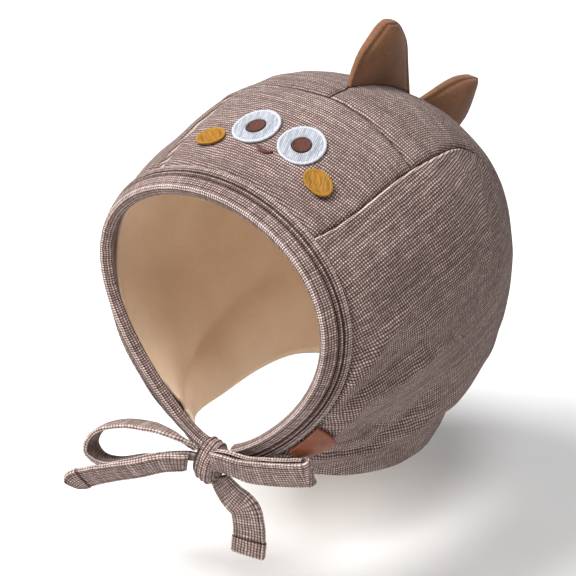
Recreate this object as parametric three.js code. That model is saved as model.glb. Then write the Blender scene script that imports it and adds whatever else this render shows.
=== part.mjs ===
import * as THREE from 'three';

// Knitted newborn bonnet with chin ties: sizes in mm, +Z up, the face opening looks along -Y
// and +X is the wearer's left. The origin is where the crown of the head sits inside the hat.

// Main sizes of the hat
const HAT_LENGTH = 154;
const HAT_HALF_WIDTH = 68;
const PANEL_WALL = 2.2;
const LINING_WALL = 1.0;
const LAYER_GAP = 1.1;
const SEAM_GAP = 0.4;
const SEAM_DIP = 0.8;
const SEAM_DIP_SPREAD = 5;
const NECK_CREASE_DIP = 0.9;
const NECK_CREASE_SPREAD = 7;

// Binding round the face opening
const BAND_WIDTH = 12;
const BAND_LIFT = 0.9;
const BAND_DEPTH = 3.9;
const BAND_WIDTH_AT_CHIN = 8;
const LINING_BEHIND_BAND = 1.2;
const LINING_BEHIND_BAND_AT_CHIN = 4.4;

// Spikes on the centre seam
const SPIKE_FRONT_HEIGHT = 34;
const SPIKE_REAR_HEIGHT = 36;
const SPIKE_THICKNESS = 9;
const SPIKE_EDGE = 1.4;

// Embroidered patches on the forehead
const EYE_WIDTH = 18.4;
const EYE_LENGTH = 17.6;
const PUPIL_WIDTH = 7.2;
const PUPIL_LENGTH = 6.6;
const CHEEK_WIDTH = 12.8;
const CHEEK_LENGTH = 8.8;
const MOUTH_WIDTH = 7;
const MOUTH_THICKNESS = 1.8;
const PATCH_WALL = 0.7;
const PATCH_GAP = 0.35;

// Leather tab under the binding
const TAB_REACH = 13.5;
const TAB_BEHIND_BAND = 0.6;
const TAB_WALL = 1.2;

// Bow under the chin
const TIE_WIDTH = 12;
const TIE_WALL = 2.4;
const KNOT_HEIGHT = 17;
const KNOT_DEPTH = 10;
const KNOT_LENGTH = 10;
const LOOP_LEFT_REACH = 43;
const LOOP_RIGHT_REACH = 42;
const TAIL_LEFT_REACH = 45;
const TAIL_DOWN_DROP = 36;

// Hoops of the hat from the face edge to the neck edge. Each hoop hangs from the chin: place
// along the way, turn in degrees, reach as a share of HAT_LENGTH, half width as a share of
// HAT_HALF_WIDTH, two shares that shape its outline, and its bow as a share of HAT_LENGTH.
const HOOPS = [
  { place: 0.0, turn: 0.5, reach: 0.66, half: 0.72, egg: 0.176, full: -0.025, bow: -0.023 },
  { place: 0.15, turn: 10.8, reach: 0.733, half: 0.94, egg: 0.008, full: 0.025, bow: 0.016 },
  { place: 0.3, turn: 25, reach: 0.877, half: 0.981, egg: 0.014, full: 0.037, bow: 0.044 },
  { place: 0.45, turn: 37.8, reach: 0.964, half: 1.0, egg: 0.048, full: 0.036, bow: 0.051 },
  { place: 0.6, turn: 56.8, reach: 0.998, half: 0.922, egg: 0.055, full: 0.031, bow: 0.055 },
  { place: 0.75, turn: 74, reach: 0.9, half: 0.844, egg: 0.071, full: 0.027, bow: 0.064 },
  { place: 0.9, turn: 84.3, reach: 0.804, half: 0.721, egg: 0.102, full: 0.035, bow: 0.058 },
  { place: 1.0, turn: 97.7, reach: 0.703, half: 0.626, egg: 0.143, full: 0.044, bow: 0.062 },
];

// Side seam: share of the half hoop from the centre line at each place
const SIDE_SEAM = [
  { place: 0.0, across: 0.168 },
  { place: 0.1, across: 0.187 },
  { place: 0.2, across: 0.203 },
  { place: 0.3, across: 0.199 },
  { place: 0.4, across: 0.183 },
  { place: 0.5, across: 0.178 },
  { place: 0.58, across: 0.25 },
  { place: 0.68, across: 0.32 },
  { place: 0.84, across: 0.33 },
  { place: 1.0, across: 0.32 },
];

// Middles of the embroidered patches: place and share of the half hoop from the centre line
const EYE_SPOT = { place: 0.205, across: 0.0475 };
const CHEEK_SPOT = { place: 0.172, across: 0.118 };
const MOUTH_SPOT = { place: 0.168, across: 0 };
const TAB_SPOT = { start: 0.64, end: 0.745 };

// Ends of the panels as shares of the way back and down
const FRONT_PANEL_END = 0.312;
const SIDE_PANEL_END = 0.84;
const LINING_END = 0.83;
const BAND_END_RIGHT = 0.968;
const BAND_END_LEFT = 0.882;

// Crease above the neck edge: place of the crease at each share of the half hoop
const NECK_CREASE = [
  { across: 0.0, place: 0.93 },
  { across: 0.36, place: 0.905 },
  { across: 0.55, place: 0.8 },
  { across: 0.73, place: 0.68 },
  { across: 0.9, place: 0.5 },
];

// Spike outlines in the centre plane. Their lengths are shares of each spike's height: back
// is measured from the front end of its foot, up from that same point.
const SPIKE_FRONT_FOOT = { start: 0.362, end: 0.512 };
const SPIKE_REAR_FOOT = { start: 0.535, end: 0.625 };
const SPIKE_FRONT_EDGES = [
  { front: [0.05, 0.15], rear: [1.015, -0.1] },
  { front: [0.15, 0.32], rear: [0.985, 0.08] },
  { front: [0.27, 0.43], rear: [0.945, 0.24] },
  { front: [0.38, 0.51], rear: [0.87, 0.38] },
  { front: [0.47, 0.565], rear: [0.79, 0.49] },
  { front: [0.54, 0.59], rear: [0.7, 0.56] },
];
const SPIKE_REAR_EDGES = [
  { front: [0.16, 0.015], rear: [0.66, -0.62] },
  { front: [0.34, 0.04], rear: [0.84, -0.5] },
  { front: [0.52, 0.055], rear: [0.94, -0.37] },
  { front: [0.68, 0.05], rear: [1.0, -0.23] },
  { front: [0.83, 0.02], rear: [1.03, -0.13] },
  { front: [0.93, -0.01], rear: [1.02, -0.06] },
];

// Middle line of each tie measured from the knot, as shares of that tie's own reach or drop.
// Wide is a share of TIE_WIDTH and face is the way the width of the tie points.
const LOOP_LEFT = [
  { out: -0.135, ahead: 0.1, up: 0.14, wide: 0.5, face: [0, 0.6, -0.8] },
  { out: -0.27, ahead: 0.18, up: 0.215, wide: 0.75, face: [0, 0.85, -0.5] },
  { out: -0.48, ahead: 0.25, up: 0.235, wide: 0.95, face: [-0.1, 0.93, -0.33] },
  { out: -0.725, ahead: 0.335, up: 0.2, wide: 1, face: [-0.3, 0.9, -0.33] },
  { out: -0.91, ahead: 0.4, up: 0.1, wide: 1, face: [-0.32, 0.89, -0.33] },
  { out: -0.99, ahead: 0.43, up: -0.03, wide: 1, face: [-0.32, 0.89, -0.33] },
  { out: -0.995, ahead: 0.43, up: -0.14, wide: 1, face: [-0.32, 0.89, -0.33] },
  { out: -0.93, ahead: 0.41, up: -0.21, wide: 1, face: [-0.32, 0.89, -0.33] },
  { out: -0.8, ahead: 0.36, up: -0.215, wide: 1, face: [-0.3, 0.9, -0.33] },
  { out: -0.58, ahead: 0.285, up: -0.115, wide: 0.95, face: [-0.2, 0.92, -0.33] },
  { out: -0.35, ahead: 0.2, up: -0.015, wide: 0.8, face: [0, 0.85, -0.5] },
  { out: -0.135, ahead: 0.1, up: 0.03, wide: 0.5, face: [0, 0.6, -0.8] },
];
const LOOP_RIGHT = [
  { out: 0.16, ahead: 0.14, up: 0.13, wide: 0.62, face: [0, -0.2, 1] },
  { out: 0.26, ahead: 0.135, up: 0.15, wide: 0.75, face: [0, -0.3, 1] },
  { out: 0.36, ahead: 0.11, up: 0.145, wide: 0.88, face: [0, -0.4, 1] },
  { out: 0.47, ahead: 0.078, up: 0.142, wide: 0.98, face: [0, -0.5, 1] },
  { out: 0.63, ahead: 0.03, up: 0.17, wide: 1, face: [0, -0.5, 1] },
  { out: 0.78, ahead: -0.015, up: 0.21, wide: 1, face: [0, -0.5, 1] },
  { out: 0.93, ahead: -0.06, up: 0.258, wide: 1, face: [0, -0.5, 1] },
  { out: 1, ahead: -0.1, up: 0.28, wide: 1, face: [0, -0.5, 1] },
  { out: 0.985, ahead: -0.155, up: 0.28, wide: 1, face: [0, -0.5, 1] },
  { out: 0.91, ahead: -0.15, up: 0.258, wide: 1, face: [0, -0.5, 1] },
  { out: 0.76, ahead: -0.108, up: 0.21, wide: 1, face: [0, -0.5, 1] },
  { out: 0.61, ahead: -0.06, up: 0.17, wide: 1, face: [0, -0.5, 1] },
  { out: 0.45, ahead: -0.01, up: 0.142, wide: 0.95, face: [0, -0.45, 1] },
  { out: 0.34, ahead: 0.022, up: 0.145, wide: 0.85, face: [0, -0.4, 1] },
  { out: 0.25, ahead: 0.045, up: 0.15, wide: 0.7, face: [0, -0.3, 1] },
  { out: 0.16, ahead: 0.05, up: 0.13, wide: 0.55, face: [0, -0.2, 1] },
];
const TAIL_LEFT = [
  { out: -0.14, ahead: 0.2, up: 0.0, wide: 0.7, face: [0.1, -0.3, 0.95] },
  { out: -0.27, ahead: 0.29, up: -0.02, wide: 0.85, face: [0.15, -0.35, 0.92] },
  { out: -0.43, ahead: 0.39, up: -0.09, wide: 0.88, face: [0.2, -0.35, 0.9] },
  { out: -0.63, ahead: 0.47, up: -0.185, wide: 0.86, face: [0.25, -0.3, 0.9] },
  { out: -0.83, ahead: 0.54, up: -0.29, wide: 0.84, face: [0.3, -0.2, 0.9] },
  { out: -0.95, ahead: 0.58, up: -0.365, wide: 0.84, face: [0.35, -0.1, 0.9] },
  { out: -1.02, ahead: 0.6, up: -0.44, wide: 0.72, face: [0.5, 0, 0.8] },
];
const TAIL_DOWN = [
  { out: 0.12, ahead: -0.03, up: -0.205, wide: 0.7, face: [0.9, 0.25, 0.3] },
  { out: 0.27, ahead: -0.04, up: -0.33, wide: 0.9, face: [0.85, 0.3, 0.35] },
  { out: 0.42, ahead: -0.07, up: -0.43, wide: 1.05, face: [0.9, 0.3, 0.2] },
  { out: 0.465, ahead: -0.085, up: -0.6, wide: 1.08, face: [0.95, 0.3, 0.05] },
  { out: 0.48, ahead: -0.09, up: -0.78, wide: 1.1, face: [0.95, 0.3, 0] },
  { out: 0.475, ahead: -0.085, up: -1.0, wide: 1.1, face: [0.95, 0.3, -0.02] },
];
const KNOT_CENTRE = { out: 4, ahead: 2.5, up: -3.5 };
const KNOT_LEAN = 8;

// Natural cubic curve through the rows of a table
function curveThrough(rows, at, value) {
  const n = rows.length;
  const x = rows.map((row) => row[at]);
  const y = rows.map((row) => row[value]);
  const bend = new Array(n).fill(0);
  const work = new Array(n).fill(0);
  for (let i = 1; i < n - 1; i++) {
    const share = (x[i] - x[i - 1]) / (x[i + 1] - x[i - 1]);
    const p = share * bend[i - 1] + 2;
    const slopeAfter = (y[i + 1] - y[i]) / (x[i + 1] - x[i]);
    const slopeBefore = (y[i] - y[i - 1]) / (x[i] - x[i - 1]);
    bend[i] = (share - 1) / p;
    work[i] = ((6 * (slopeAfter - slopeBefore)) / (x[i + 1] - x[i - 1]) - share * work[i - 1]) / p;
  }
  bend[n - 1] = 0;
  for (let i = n - 2; i >= 0; i--) bend[i] = bend[i] * bend[i + 1] + work[i];
  return (t) => {
    let k = 0;
    while (k < n - 2 && t > x[k + 1]) k++;
    const h = x[k + 1] - x[k];
    const a = (x[k + 1] - t) / h;
    const b = (t - x[k]) / h;
    const curved = ((a ** 3 - a) * bend[k] + (b ** 3 - b) * bend[k + 1]) * ((h * h) / 6);
    return a * y[k] + b * y[k + 1] + curved;
  };
}

const hoopTurn = curveThrough(HOOPS, 'place', 'turn');
const hoopReach = curveThrough(HOOPS, 'place', 'reach');
const hoopHalf = curveThrough(HOOPS, 'place', 'half');
const hoopEgg = curveThrough(HOOPS, 'place', 'egg');
const hoopFull = curveThrough(HOOPS, 'place', 'full');
const hoopBow = curveThrough(HOOPS, 'place', 'bow');
const seamAcross = curveThrough(SIDE_SEAM, 'place', 'across');
const creasePlace = curveThrough(NECK_CREASE, 'across', 'place');

function smooth(low, high, value) {
  const a = Math.min(1, Math.max(0, (value - low) / (high - low)));
  return a * a * (3 - 2 * a);
}

function mix(a, b, share) {
  return a + (b - a) * share;
}

// Share from -1 to 1 that moves faster near the middle than near its ends
function eased(way, power) {
  return Math.sign(way) * (1 - (1 - Math.abs(way)) ** power);
}

// Point of a hoop, measured from the chin; s runs from -1 at the chin over 0 on top to 1
function hoopPoint(t, s) {
  const turn = THREE.MathUtils.degToRad(hoopTurn(t));
  const reach = hoopReach(t) * HAT_LENGTH;
  const bow = hoopBow(t) * HAT_LENGTH * Math.sin(Math.PI * s) ** 2;
  const rise = (reach * (1 + Math.cos(Math.PI * s))) / 2;
  const egg = hoopEgg(t) * Math.sin(2 * Math.PI * s);
  const full = hoopFull(t) * Math.sin(3 * Math.PI * s);
  return new THREE.Vector3(
    hoopHalf(t) * HAT_HALF_WIDTH * (Math.sin(Math.PI * s) + egg + full),
    Math.sin(turn) * rise + Math.cos(turn) * bow,
    Math.cos(turn) * rise - Math.sin(turn) * bow,
  );
}

// Middle surface of the hat: near the chin the hoops are drawn straight between its edges
function hatPoint(t, s) {
  const round = 0.2 + 0.8 * smooth(0, 0.42, 1 - Math.abs(s));
  const straight = hoopPoint(0, s).lerp(hoopPoint(1, s), t);
  return straight.lerp(hoopPoint(t, s), round);
}

function outwardAt(surface, t, s) {
  const e = 1e-3;
  const along = surface(t + e, s).sub(surface(t - e, s));
  const across = surface(t, s + e).sub(surface(t, s - e));
  return across.cross(along).normalize();
}

function hatAt(t, s, lift) {
  return hatPoint(t, s).addScaledVector(outwardAt(hatPoint, t, s), lift);
}

// How far the outer face dips along the seams and along the crease above the neck edge
const ALONG_SCALE = HAT_LENGTH * 1.3;
const ACROSS_SCALE = HAT_HALF_WIDTH * 2.9;
function dipAt(t, s) {
  const u = Math.abs(s);
  const lean = ((seamAcross(t + 0.01) - seamAcross(t - 0.01)) / 0.02) * (ACROSS_SCALE / ALONG_SCALE);
  const toSide = (Math.abs(u - seamAcross(t)) * ACROSS_SCALE) / Math.hypot(1, lean);
  const toBack = u < seamAcross(FRONT_PANEL_END) ? Math.abs(t - FRONT_PANEL_END) * ALONG_SCALE : 99;
  const toCentre = t > FRONT_PANEL_END ? u * ACROSS_SCALE : 99;
  const toSeam = Math.min(toSide, toBack, toCentre);
  const toCrease = Math.abs(t - creasePlace(Math.min(u, 0.9))) * ALONG_SCALE * 0.6;
  const seam = SEAM_DIP * Math.exp(-((toSeam / SEAM_DIP_SPREAD) ** 2));
  const crease = NECK_CREASE_DIP * Math.exp(-((toCrease / NECK_CREASE_SPREAD) ** 2));
  return Math.max(seam, crease);
}

// Place on the row through s that lies a given length behind the face edge
function placeBehindEdge(s, length) {
  const steps = 200;
  let walked = 0;
  let last = hatPoint(0, s);
  for (let i = 1; i <= steps; i++) {
    const next = hatPoint(i / steps, s);
    const step = next.distanceTo(last);
    if (walked + step >= length) return (i - 1 + (length - walked) / step) / steps;
    walked += step;
    last = next;
  }
  return 1;
}

// The crown of the head sits under the highest point of the lining
function highestPlace() {
  let best = 0;
  for (let t = 0; t <= 1; t += 0.002) {
    if (hatPoint(t, 0).z > hatPoint(best, 0).z) best = t;
  }
  return best;
}
const SEAT_PLACE = highestPlace();
const SEAT = hatPoint(SEAT_PLACE, 0);
SEAT.z -= PANEL_WALL + LAYER_GAP + LINING_WALL;

const hat = new THREE.Group();
hat.name = 'newborn_bonnet';

// Closed body from a list of points and triangles, turned to face outward
function addBody(name, points, faces, color, roughness) {
  const positions = new Float32Array(points.length * 3);
  points.forEach((p, i) => p.clone().sub(SEAT).toArray(positions, i * 3));
  let volume = 0;
  for (const [a, b, c] of faces) {
    volume += points[a].dot(points[b].clone().cross(points[c]));
  }
  const index = volume < 0 ? faces.flatMap(([a, b, c]) => [a, c, b]) : faces.flat();
  const geometry = new THREE.BufferGeometry();
  geometry.setAttribute('position', new THREE.BufferAttribute(positions, 3));
  geometry.setIndex(index);
  geometry.computeVertexNormals();
  const material = new THREE.MeshStandardMaterial({ color, roughness, metalness: 0 });
  const mesh = new THREE.Mesh(geometry, material);
  mesh.name = name;
  hat.add(mesh);
}

// Two faces over the same grid, joined round the rim
function sheetBody(rows, columns, outer, inner) {
  const points = [];
  const faces = [];
  const at = (i, j) => i * (columns + 1) + j;
  for (const face of [outer, inner]) {
    for (let i = 0; i <= rows; i++) {
      for (let j = 0; j <= columns; j++) points.push(face(i / rows, j / columns));
    }
  }
  const layer = (rows + 1) * (columns + 1);
  for (let i = 0; i < rows; i++) {
    for (let j = 0; j < columns; j++) {
      const a = at(i, j);
      const b = at(i, j + 1);
      const c = at(i + 1, j + 1);
      const d = at(i + 1, j);
      faces.push([a, b, c], [a, c, d]);
      faces.push([layer + a, layer + c, layer + b], [layer + a, layer + d, layer + c]);
    }
  }
  const rim = [];
  for (let j = 0; j < columns; j++) rim.push(at(0, j));
  for (let i = 0; i < rows; i++) rim.push(at(i, columns));
  for (let j = columns; j > 0; j--) rim.push(at(rows, j));
  for (let i = rows; i > 0; i--) rim.push(at(i, 0));
  rim.forEach((a, k) => {
    const b = rim[(k + 1) % rim.length];
    faces.push([a, layer + b, b], [a, layer + a, layer + b]);
  });
  return { points, faces };
}

// Sections of equal length joined along their order, with flat ends
function tubeBody(sections) {
  const points = sections.flat();
  const size = sections[0].length;
  const faces = [];
  for (let i = 0; i < sections.length - 1; i++) {
    for (let j = 0; j < size; j++) {
      const a = i * size + j;
      const b = i * size + ((j + 1) % size);
      faces.push([a, b, b + size], [a, b + size, a + size]);
    }
  }
  const last = (sections.length - 1) * size;
  for (let j = 1; j < size - 1; j++) {
    faces.push([0, j + 1, j], [last, last + j, last + j + 1]);
  }
  return { points, faces };
}

const KNIT = 0x8f7a70;
const LINING_CLOTH = 0xa58a6c;
const SPIKE_CLOTH = 0x7d5c44;
const LEATHER = 0xa85e30;
const WHITE_THREAD = 0xd9dfe8;
const DARK_THREAD = 0x643226;
const YELLOW_THREAD = 0xd79e1c;

// Panels: each one runs from the binding or a seam to the next seam or the neck edge
const halfSeam = SEAM_GAP / 2 / ACROSS_SCALE;
function bandEdgeFor(acrossAt) {
  let t = 0.085;
  for (let i = 0; i < 12; i++) t = placeBehindEdge(acrossAt(t), BAND_WIDTH + 2 * SEAM_GAP);
  return t;
}
function panelBody(rows, columns, placeAt, acrossAt, outerLift, innerLift) {
  const cache = new Map();
  const spot = (a, b) => {
    const key = `${a},${b}`;
    if (!cache.has(key)) cache.set(key, placeAt(a, b));
    const t = cache.get(key);
    return [t, acrossAt(t, b)];
  };
  const outer = (a, b) => hatAt(...spot(a, b), outerLift(...spot(a, b)));
  const inner = (a, b) => hatAt(...spot(a, b), innerLift);
  return sheetBody(rows, columns, outer, inner);
}
const outerFace = (t, s) => -dipAt(t, s);

function seamSlope(t) {
  const rise = ((seamAcross(t + 0.01) - seamAcross(t - 0.01)) / 0.02) * (ACROSS_SCALE / ALONG_SCALE);
  return Math.hypot(1, rise);
}

const FRONT_ROWS = 6;
const BACK_ROWS = 16;
const frontAcross = (t, b) => (2 * b - 1) * (seamAcross(t) - halfSeam * seamSlope(t));
const frontEnd = FRONT_PANEL_END - SEAM_GAP / 2 / ALONG_SCALE;
const front = panelBody(
  FRONT_ROWS,
  16,
  (a, b) => mix(bandEdgeFor((t) => frontAcross(t, b)), frontEnd, a),
  frontAcross,
  outerFace,
  -PANEL_WALL,
);
addBody('front_panel', front.points, front.faces, KNIT, 0.95);

for (const [name, side] of [['crown_left', 1], ['crown_right', -1]]) {
  const start = FRONT_PANEL_END + SEAM_GAP / 2 / ALONG_SCALE;
  const place = (a) => mix(a > 0 ? FRONT_PANEL_END : start, 1, a);
  const across = (t, b) => side * mix(halfSeam, seamAcross(t) - halfSeam * seamSlope(t), b);
  const body = panelBody(BACK_ROWS, 7, place, across, outerFace, -PANEL_WALL);
  addBody(name, body.points, body.faces, KNIT, 0.95);
}

// The rows of the side panels meet those of the panels beside them along the seam
for (const [name, side] of [['side_left', 1], ['side_right', -1]]) {
  const seamEdge = (t) => seamAcross(t) + halfSeam * seamSlope(t);
  const across = (t, b) => side * mix(seamEdge(t), SIDE_PANEL_END, 1 - (1 - b) ** 1.3);
  const rows = FRONT_ROWS + BACK_ROWS;
  const seamStart = bandEdgeFor((t) => across(t, 0));
  const place = (a, b) => {
    const row = a * rows;
    const onSeam =
      row <= FRONT_ROWS
        ? mix(seamStart, FRONT_PANEL_END, row / FRONT_ROWS)
        : mix(FRONT_PANEL_END, 1, (row - FRONT_ROWS) / BACK_ROWS);
    return mix(bandEdgeFor((t) => across(t, b)), 1, (onSeam - seamStart) / (1 - seamStart));
  };
  const body = panelBody(rows, 18, place, across, outerFace, -PANEL_WALL);
  addBody(name, body.points, body.faces, KNIT, 0.95);
}

// Lining: one smooth shell inside all the panels, from the binding to the neck edge
const liningTop = -PANEL_WALL - LAYER_GAP;
const liningAcross = (t, b) => LINING_END * eased(2 * b - 1, 1.3);
const liningStart = (s) =>
  placeBehindEdge(
    s,
    BAND_WIDTH +
      mix(LINING_BEHIND_BAND, LINING_BEHIND_BAND_AT_CHIN, smooth(0.65, 0.8, Math.abs(s))),
  );
const liningBody = panelBody(
  16,
  40,
  (a, b) => mix(liningStart(liningAcross(0, b)), 1, a),
  liningAcross,
  () => liningTop,
  liningTop - LINING_WALL,
);
addBody('lining', liningBody.points, liningBody.faces, LINING_CLOTH, 0.9);

// Binding: a folded strip swept round the face edge; near the chin it turns to hang down
const CHIN_WAY = new THREE.Vector3(0, 0.35, -0.94).normalize();
function bandPoint(f, s) {
  const turn = smooth(0.85, 0.94, Math.abs(s));
  const width = mix(BAND_WIDTH, BAND_WIDTH_AT_CHIN, turn);
  const onHat = hatPoint(placeBehindEdge(s, f * BAND_WIDTH), s);
  const hanging = hatPoint(0, s).addScaledVector(CHIN_WAY, f * width);
  return onHat.lerp(hanging, turn);
}
const BAND_OUTLINE = [
  { back: 0.96, lift: 0.78, depth: 0 },
  { back: 0.9, lift: 1, depth: 0 },
  { back: 0.5, lift: 1, depth: 0 },
  { back: 0.11, lift: 1, depth: 0 },
  { back: 0.03, lift: 0.2, depth: 0 },
  { back: 0.0, lift: 0, depth: 0.37 },
  { back: 0.03, lift: 0, depth: 0.8 },
  { back: 0.11, lift: 0, depth: 1 },
  { back: 0.92, lift: 0, depth: 1 },
];
const bandSections = [];
const bandSteps = 60;
for (let i = 0; i <= bandSteps; i++) {
  const even = eased(mix(-1, 1, i / bandSteps), 1.25);
  const s = even * (even < 0 ? BAND_END_RIGHT : BAND_END_LEFT);
  const ring = BAND_OUTLINE.map(({ back, lift, depth }) => {
    const e = 2e-3;
    const f = Math.max(back, 0.02);
    const along = bandPoint(f + 0.02, s).sub(bandPoint(f - 0.02, s));
    const across = bandPoint(f, s + e).sub(bandPoint(f, s - e));
    const outward = across.cross(along).normalize();
    return bandPoint(back, s).addScaledVector(outward, lift * BAND_LIFT - depth * BAND_DEPTH);
  });
  bandSections.push(ring);
}
const band = tubeBody(bandSections);
addBody('face_band', band.points, band.faces, KNIT, 0.95);

// Spikes: two padded faces that meet in a narrow edge and stand on the centre seam
function spikeBody(foot, edges, height) {
  const rows = edges.length;
  const start = hatAt(foot.start, 0, 0);
  const edgeAt = ([back, up]) =>
    new THREE.Vector3(0, start.y + back * height, start.z + up * height);
  const face = (side) => (a, b) => {
    const row = Math.round(a * rows);
    const onFoot = hatAt(mix(foot.start, foot.end, b), 0, -0.3);
    const line = edges[Math.max(0, row - 1)];
    const point = row === 0 ? onFoot : edgeAt(line.front).lerp(edgeAt(line.rear), b);
    const swell = Math.sin(Math.PI * b) ** 0.7 * Math.sin(Math.PI * mix(0.1, 0.93, a)) ** 0.8;
    point.x = side * (SPIKE_EDGE / 2 + ((SPIKE_THICKNESS - SPIKE_EDGE) / 2) * swell);
    return point;
  };
  return sheetBody(rows, 8, face(1), face(-1));
}
const spikeFront = spikeBody(SPIKE_FRONT_FOOT, SPIKE_FRONT_EDGES, SPIKE_FRONT_HEIGHT);
addBody('spike_front', spikeFront.points, spikeFront.faces, SPIKE_CLOTH, 0.9);
const spikeRear = spikeBody(SPIKE_REAR_FOOT, SPIKE_REAR_EDGES, SPIKE_REAR_HEIGHT);
addBody('spike_rear', spikeRear.points, spikeRear.faces, SPIKE_CLOTH, 0.9);

// Embroidery: thin raised patches that follow the forehead
function patchPoint(spot, side, right, back, lift) {
  const t = spot.place;
  const s = side * spot.across;
  const e = 1e-3;
  const perPlace = hatPoint(t + e, s).distanceTo(hatPoint(t - e, s)) / (2 * e);
  const perShare = hatPoint(t, s + e).distanceTo(hatPoint(t, s - e)) / (2 * e);
  return hatAt(t + back / perPlace, s + right / perShare, lift);
}
function ovalBody(spot, side, width, length, rings, segments) {
  const points = [];
  const faces = [];
  const open = rings[0] > 0;
  const lifts = [PATCH_GAP + PATCH_WALL, PATCH_GAP];
  const start = [];
  for (const lift of lifts) {
    start.push(points.length);
    if (!open) points.push(patchPoint(spot, side, 0, 0, lift));
    for (const ring of rings.filter((share) => share > 0)) {
      for (let k = 0; k < segments; k++) {
        const turn = (2 * Math.PI * k) / segments;
        const right = (width / 2) * ring * Math.cos(turn);
        const back = (length / 2) * ring * Math.sin(turn);
        points.push(patchPoint(spot, side, right, back, lift));
      }
    }
  }
  const drawn = rings.filter((share) => share > 0).length;
  const first = open ? 0 : 1;
  const at = (layer, ring, k) => start[layer] + first + ring * segments + (k % segments);
  for (let k = 0; k < segments; k++) {
    for (let ring = 0; ring < drawn - 1; ring++) {
      const [a, b] = [at(0, ring, k), at(0, ring, k + 1)];
      const [c, d] = [at(0, ring + 1, k + 1), at(0, ring + 1, k)];
      faces.push([a, d, c], [a, c, b]);
      const [e, f] = [at(1, ring, k), at(1, ring, k + 1)];
      const [g, h] = [at(1, ring + 1, k + 1), at(1, ring + 1, k)];
      faces.push([e, g, h], [e, f, g]);
    }
    if (open) faces.push([at(0, 0, k), at(0, 0, k + 1), at(1, 0, k + 1)]);
    if (open) faces.push([at(0, 0, k), at(1, 0, k + 1), at(1, 0, k)]);
    if (!open) faces.push([start[0], at(0, 0, k), at(0, 0, k + 1)]);
    if (!open) faces.push([start[1], at(1, 0, k + 1), at(1, 0, k)]);
    const rim = drawn - 1;
    faces.push([at(0, rim, k), at(1, rim, k + 1), at(0, rim, k + 1)]);
    faces.push([at(0, rim, k), at(1, rim, k), at(1, rim, k + 1)]);
  }
  return { points, faces };
}
const pupilHole = (PUPIL_WIDTH + 2 * PATCH_GAP) / EYE_WIDTH;
for (const [which, side] of [['left', 1], ['right', -1]]) {
  const eye = ovalBody(EYE_SPOT, side, EYE_WIDTH, EYE_LENGTH, [pupilHole, 1], 20);
  addBody(`eye_${which}`, eye.points, eye.faces, WHITE_THREAD, 0.7);
  const pupil = ovalBody(EYE_SPOT, side, PUPIL_WIDTH, PUPIL_LENGTH, [0, 1], 16);
  addBody(`pupil_${which}`, pupil.points, pupil.faces, DARK_THREAD, 0.7);
  const cheek = ovalBody(CHEEK_SPOT, side, CHEEK_WIDTH, CHEEK_LENGTH, [0, 0.6, 1], 18);
  addBody(`cheek_${which}`, cheek.points, cheek.faces, YELLOW_THREAD, 0.7);
}
const mouthFace = (lift) => (a, b) => {
  const right = (a - 0.5) * MOUTH_WIDTH;
  const half = (MOUTH_THICKNESS / 2) * (0.45 + 0.55 * Math.sin(Math.PI * a));
  const back = (2 * b - 1) * half + 0.9 * (2 * a - 1) ** 2;
  return patchPoint(MOUTH_SPOT, 1, right, back, lift);
};
const mouth = sheetBody(8, 1, mouthFace(PATCH_GAP + PATCH_WALL), mouthFace(PATCH_GAP));
addBody('mouth', mouth.points, mouth.faces, DARK_THREAD, 0.7);

// Leather tab: lies on the side panel, square to the edge of the binding
const tabRoot = (s) => placeBehindEdge(s, BAND_WIDTH + TAB_BEHIND_BAND);
const tabFace = (lift) => (a, b) => {
  const s = mix(TAB_SPOT.start, TAB_SPOT.end, b);
  const t = tabRoot(s);
  const e = 1e-3;
  const slope = (tabRoot(s + e) - tabRoot(s - e)) / (2 * e);
  const along = hatPoint(t + e, s).sub(hatPoint(t - e, s)).divideScalar(2 * e);
  const edge = hatPoint(t + slope * e, s + e).sub(hatPoint(t - slope * e, s - e)).divideScalar(2 * e);
  const share = along.dot(edge) / edge.dot(edge);
  const step = (a * TAB_REACH) / along.addScaledVector(edge, -share).length();
  return hatAt(t + step * (1 - share * slope), s - step * share, lift);
};
const tab = sheetBody(3, 5, tabFace(PATCH_GAP + 0.25 + TAB_WALL), tabFace(PATCH_GAP + 0.25));
addBody('side_label', tab.points, tab.faces, LEATHER, 0.5);

// Bow: flat straps swept along their middle lines, held by a rounded knot
const knotCentre = new THREE.Vector3(KNOT_CENTRE.out, -KNOT_CENTRE.ahead, KNOT_CENTRE.up);
function strapBody(rows, reach, steps) {
  const middle = new THREE.CatmullRomCurve3(
    rows.map((row) =>
      new THREE.Vector3(row.out, -row.ahead, row.up).multiplyScalar(reach).add(knotCentre),
    ),
    false,
    'centripetal',
  );
  const sections = [];
  for (let i = 0; i <= steps; i++) {
    const share = i / steps;
    const k = Math.min(rows.length - 2, Math.floor(share * (rows.length - 1)));
    const between = share * (rows.length - 1) - k;
    const centre = middle.getPoint(share);
    const along = middle.getTangent(share);
    const face = new THREE.Vector3(...rows[k].face).lerp(new THREE.Vector3(...rows[k + 1].face), between);
    const half = (mix(rows[k].wide, rows[k + 1].wide, between) * TIE_WIDTH) / 2;
    const wide = face.addScaledVector(along, -face.dot(along)).normalize();
    const thick = along.clone().cross(wide);
    const corner = TIE_WALL * 0.3;
    const outline = [
      [half - corner, TIE_WALL / 2],
      [half, TIE_WALL / 2 - corner],
      [half, corner - TIE_WALL / 2],
      [half - corner, -TIE_WALL / 2],
      [corner - half, -TIE_WALL / 2],
      [-half, corner - TIE_WALL / 2],
      [-half, TIE_WALL / 2 - corner],
      [corner - half, TIE_WALL / 2],
    ];
    sections.push(
      outline.map(([w, h]) => centre.clone().addScaledVector(wide, w).addScaledVector(thick, h)),
    );
  }
  return tubeBody(sections);
}
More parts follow.
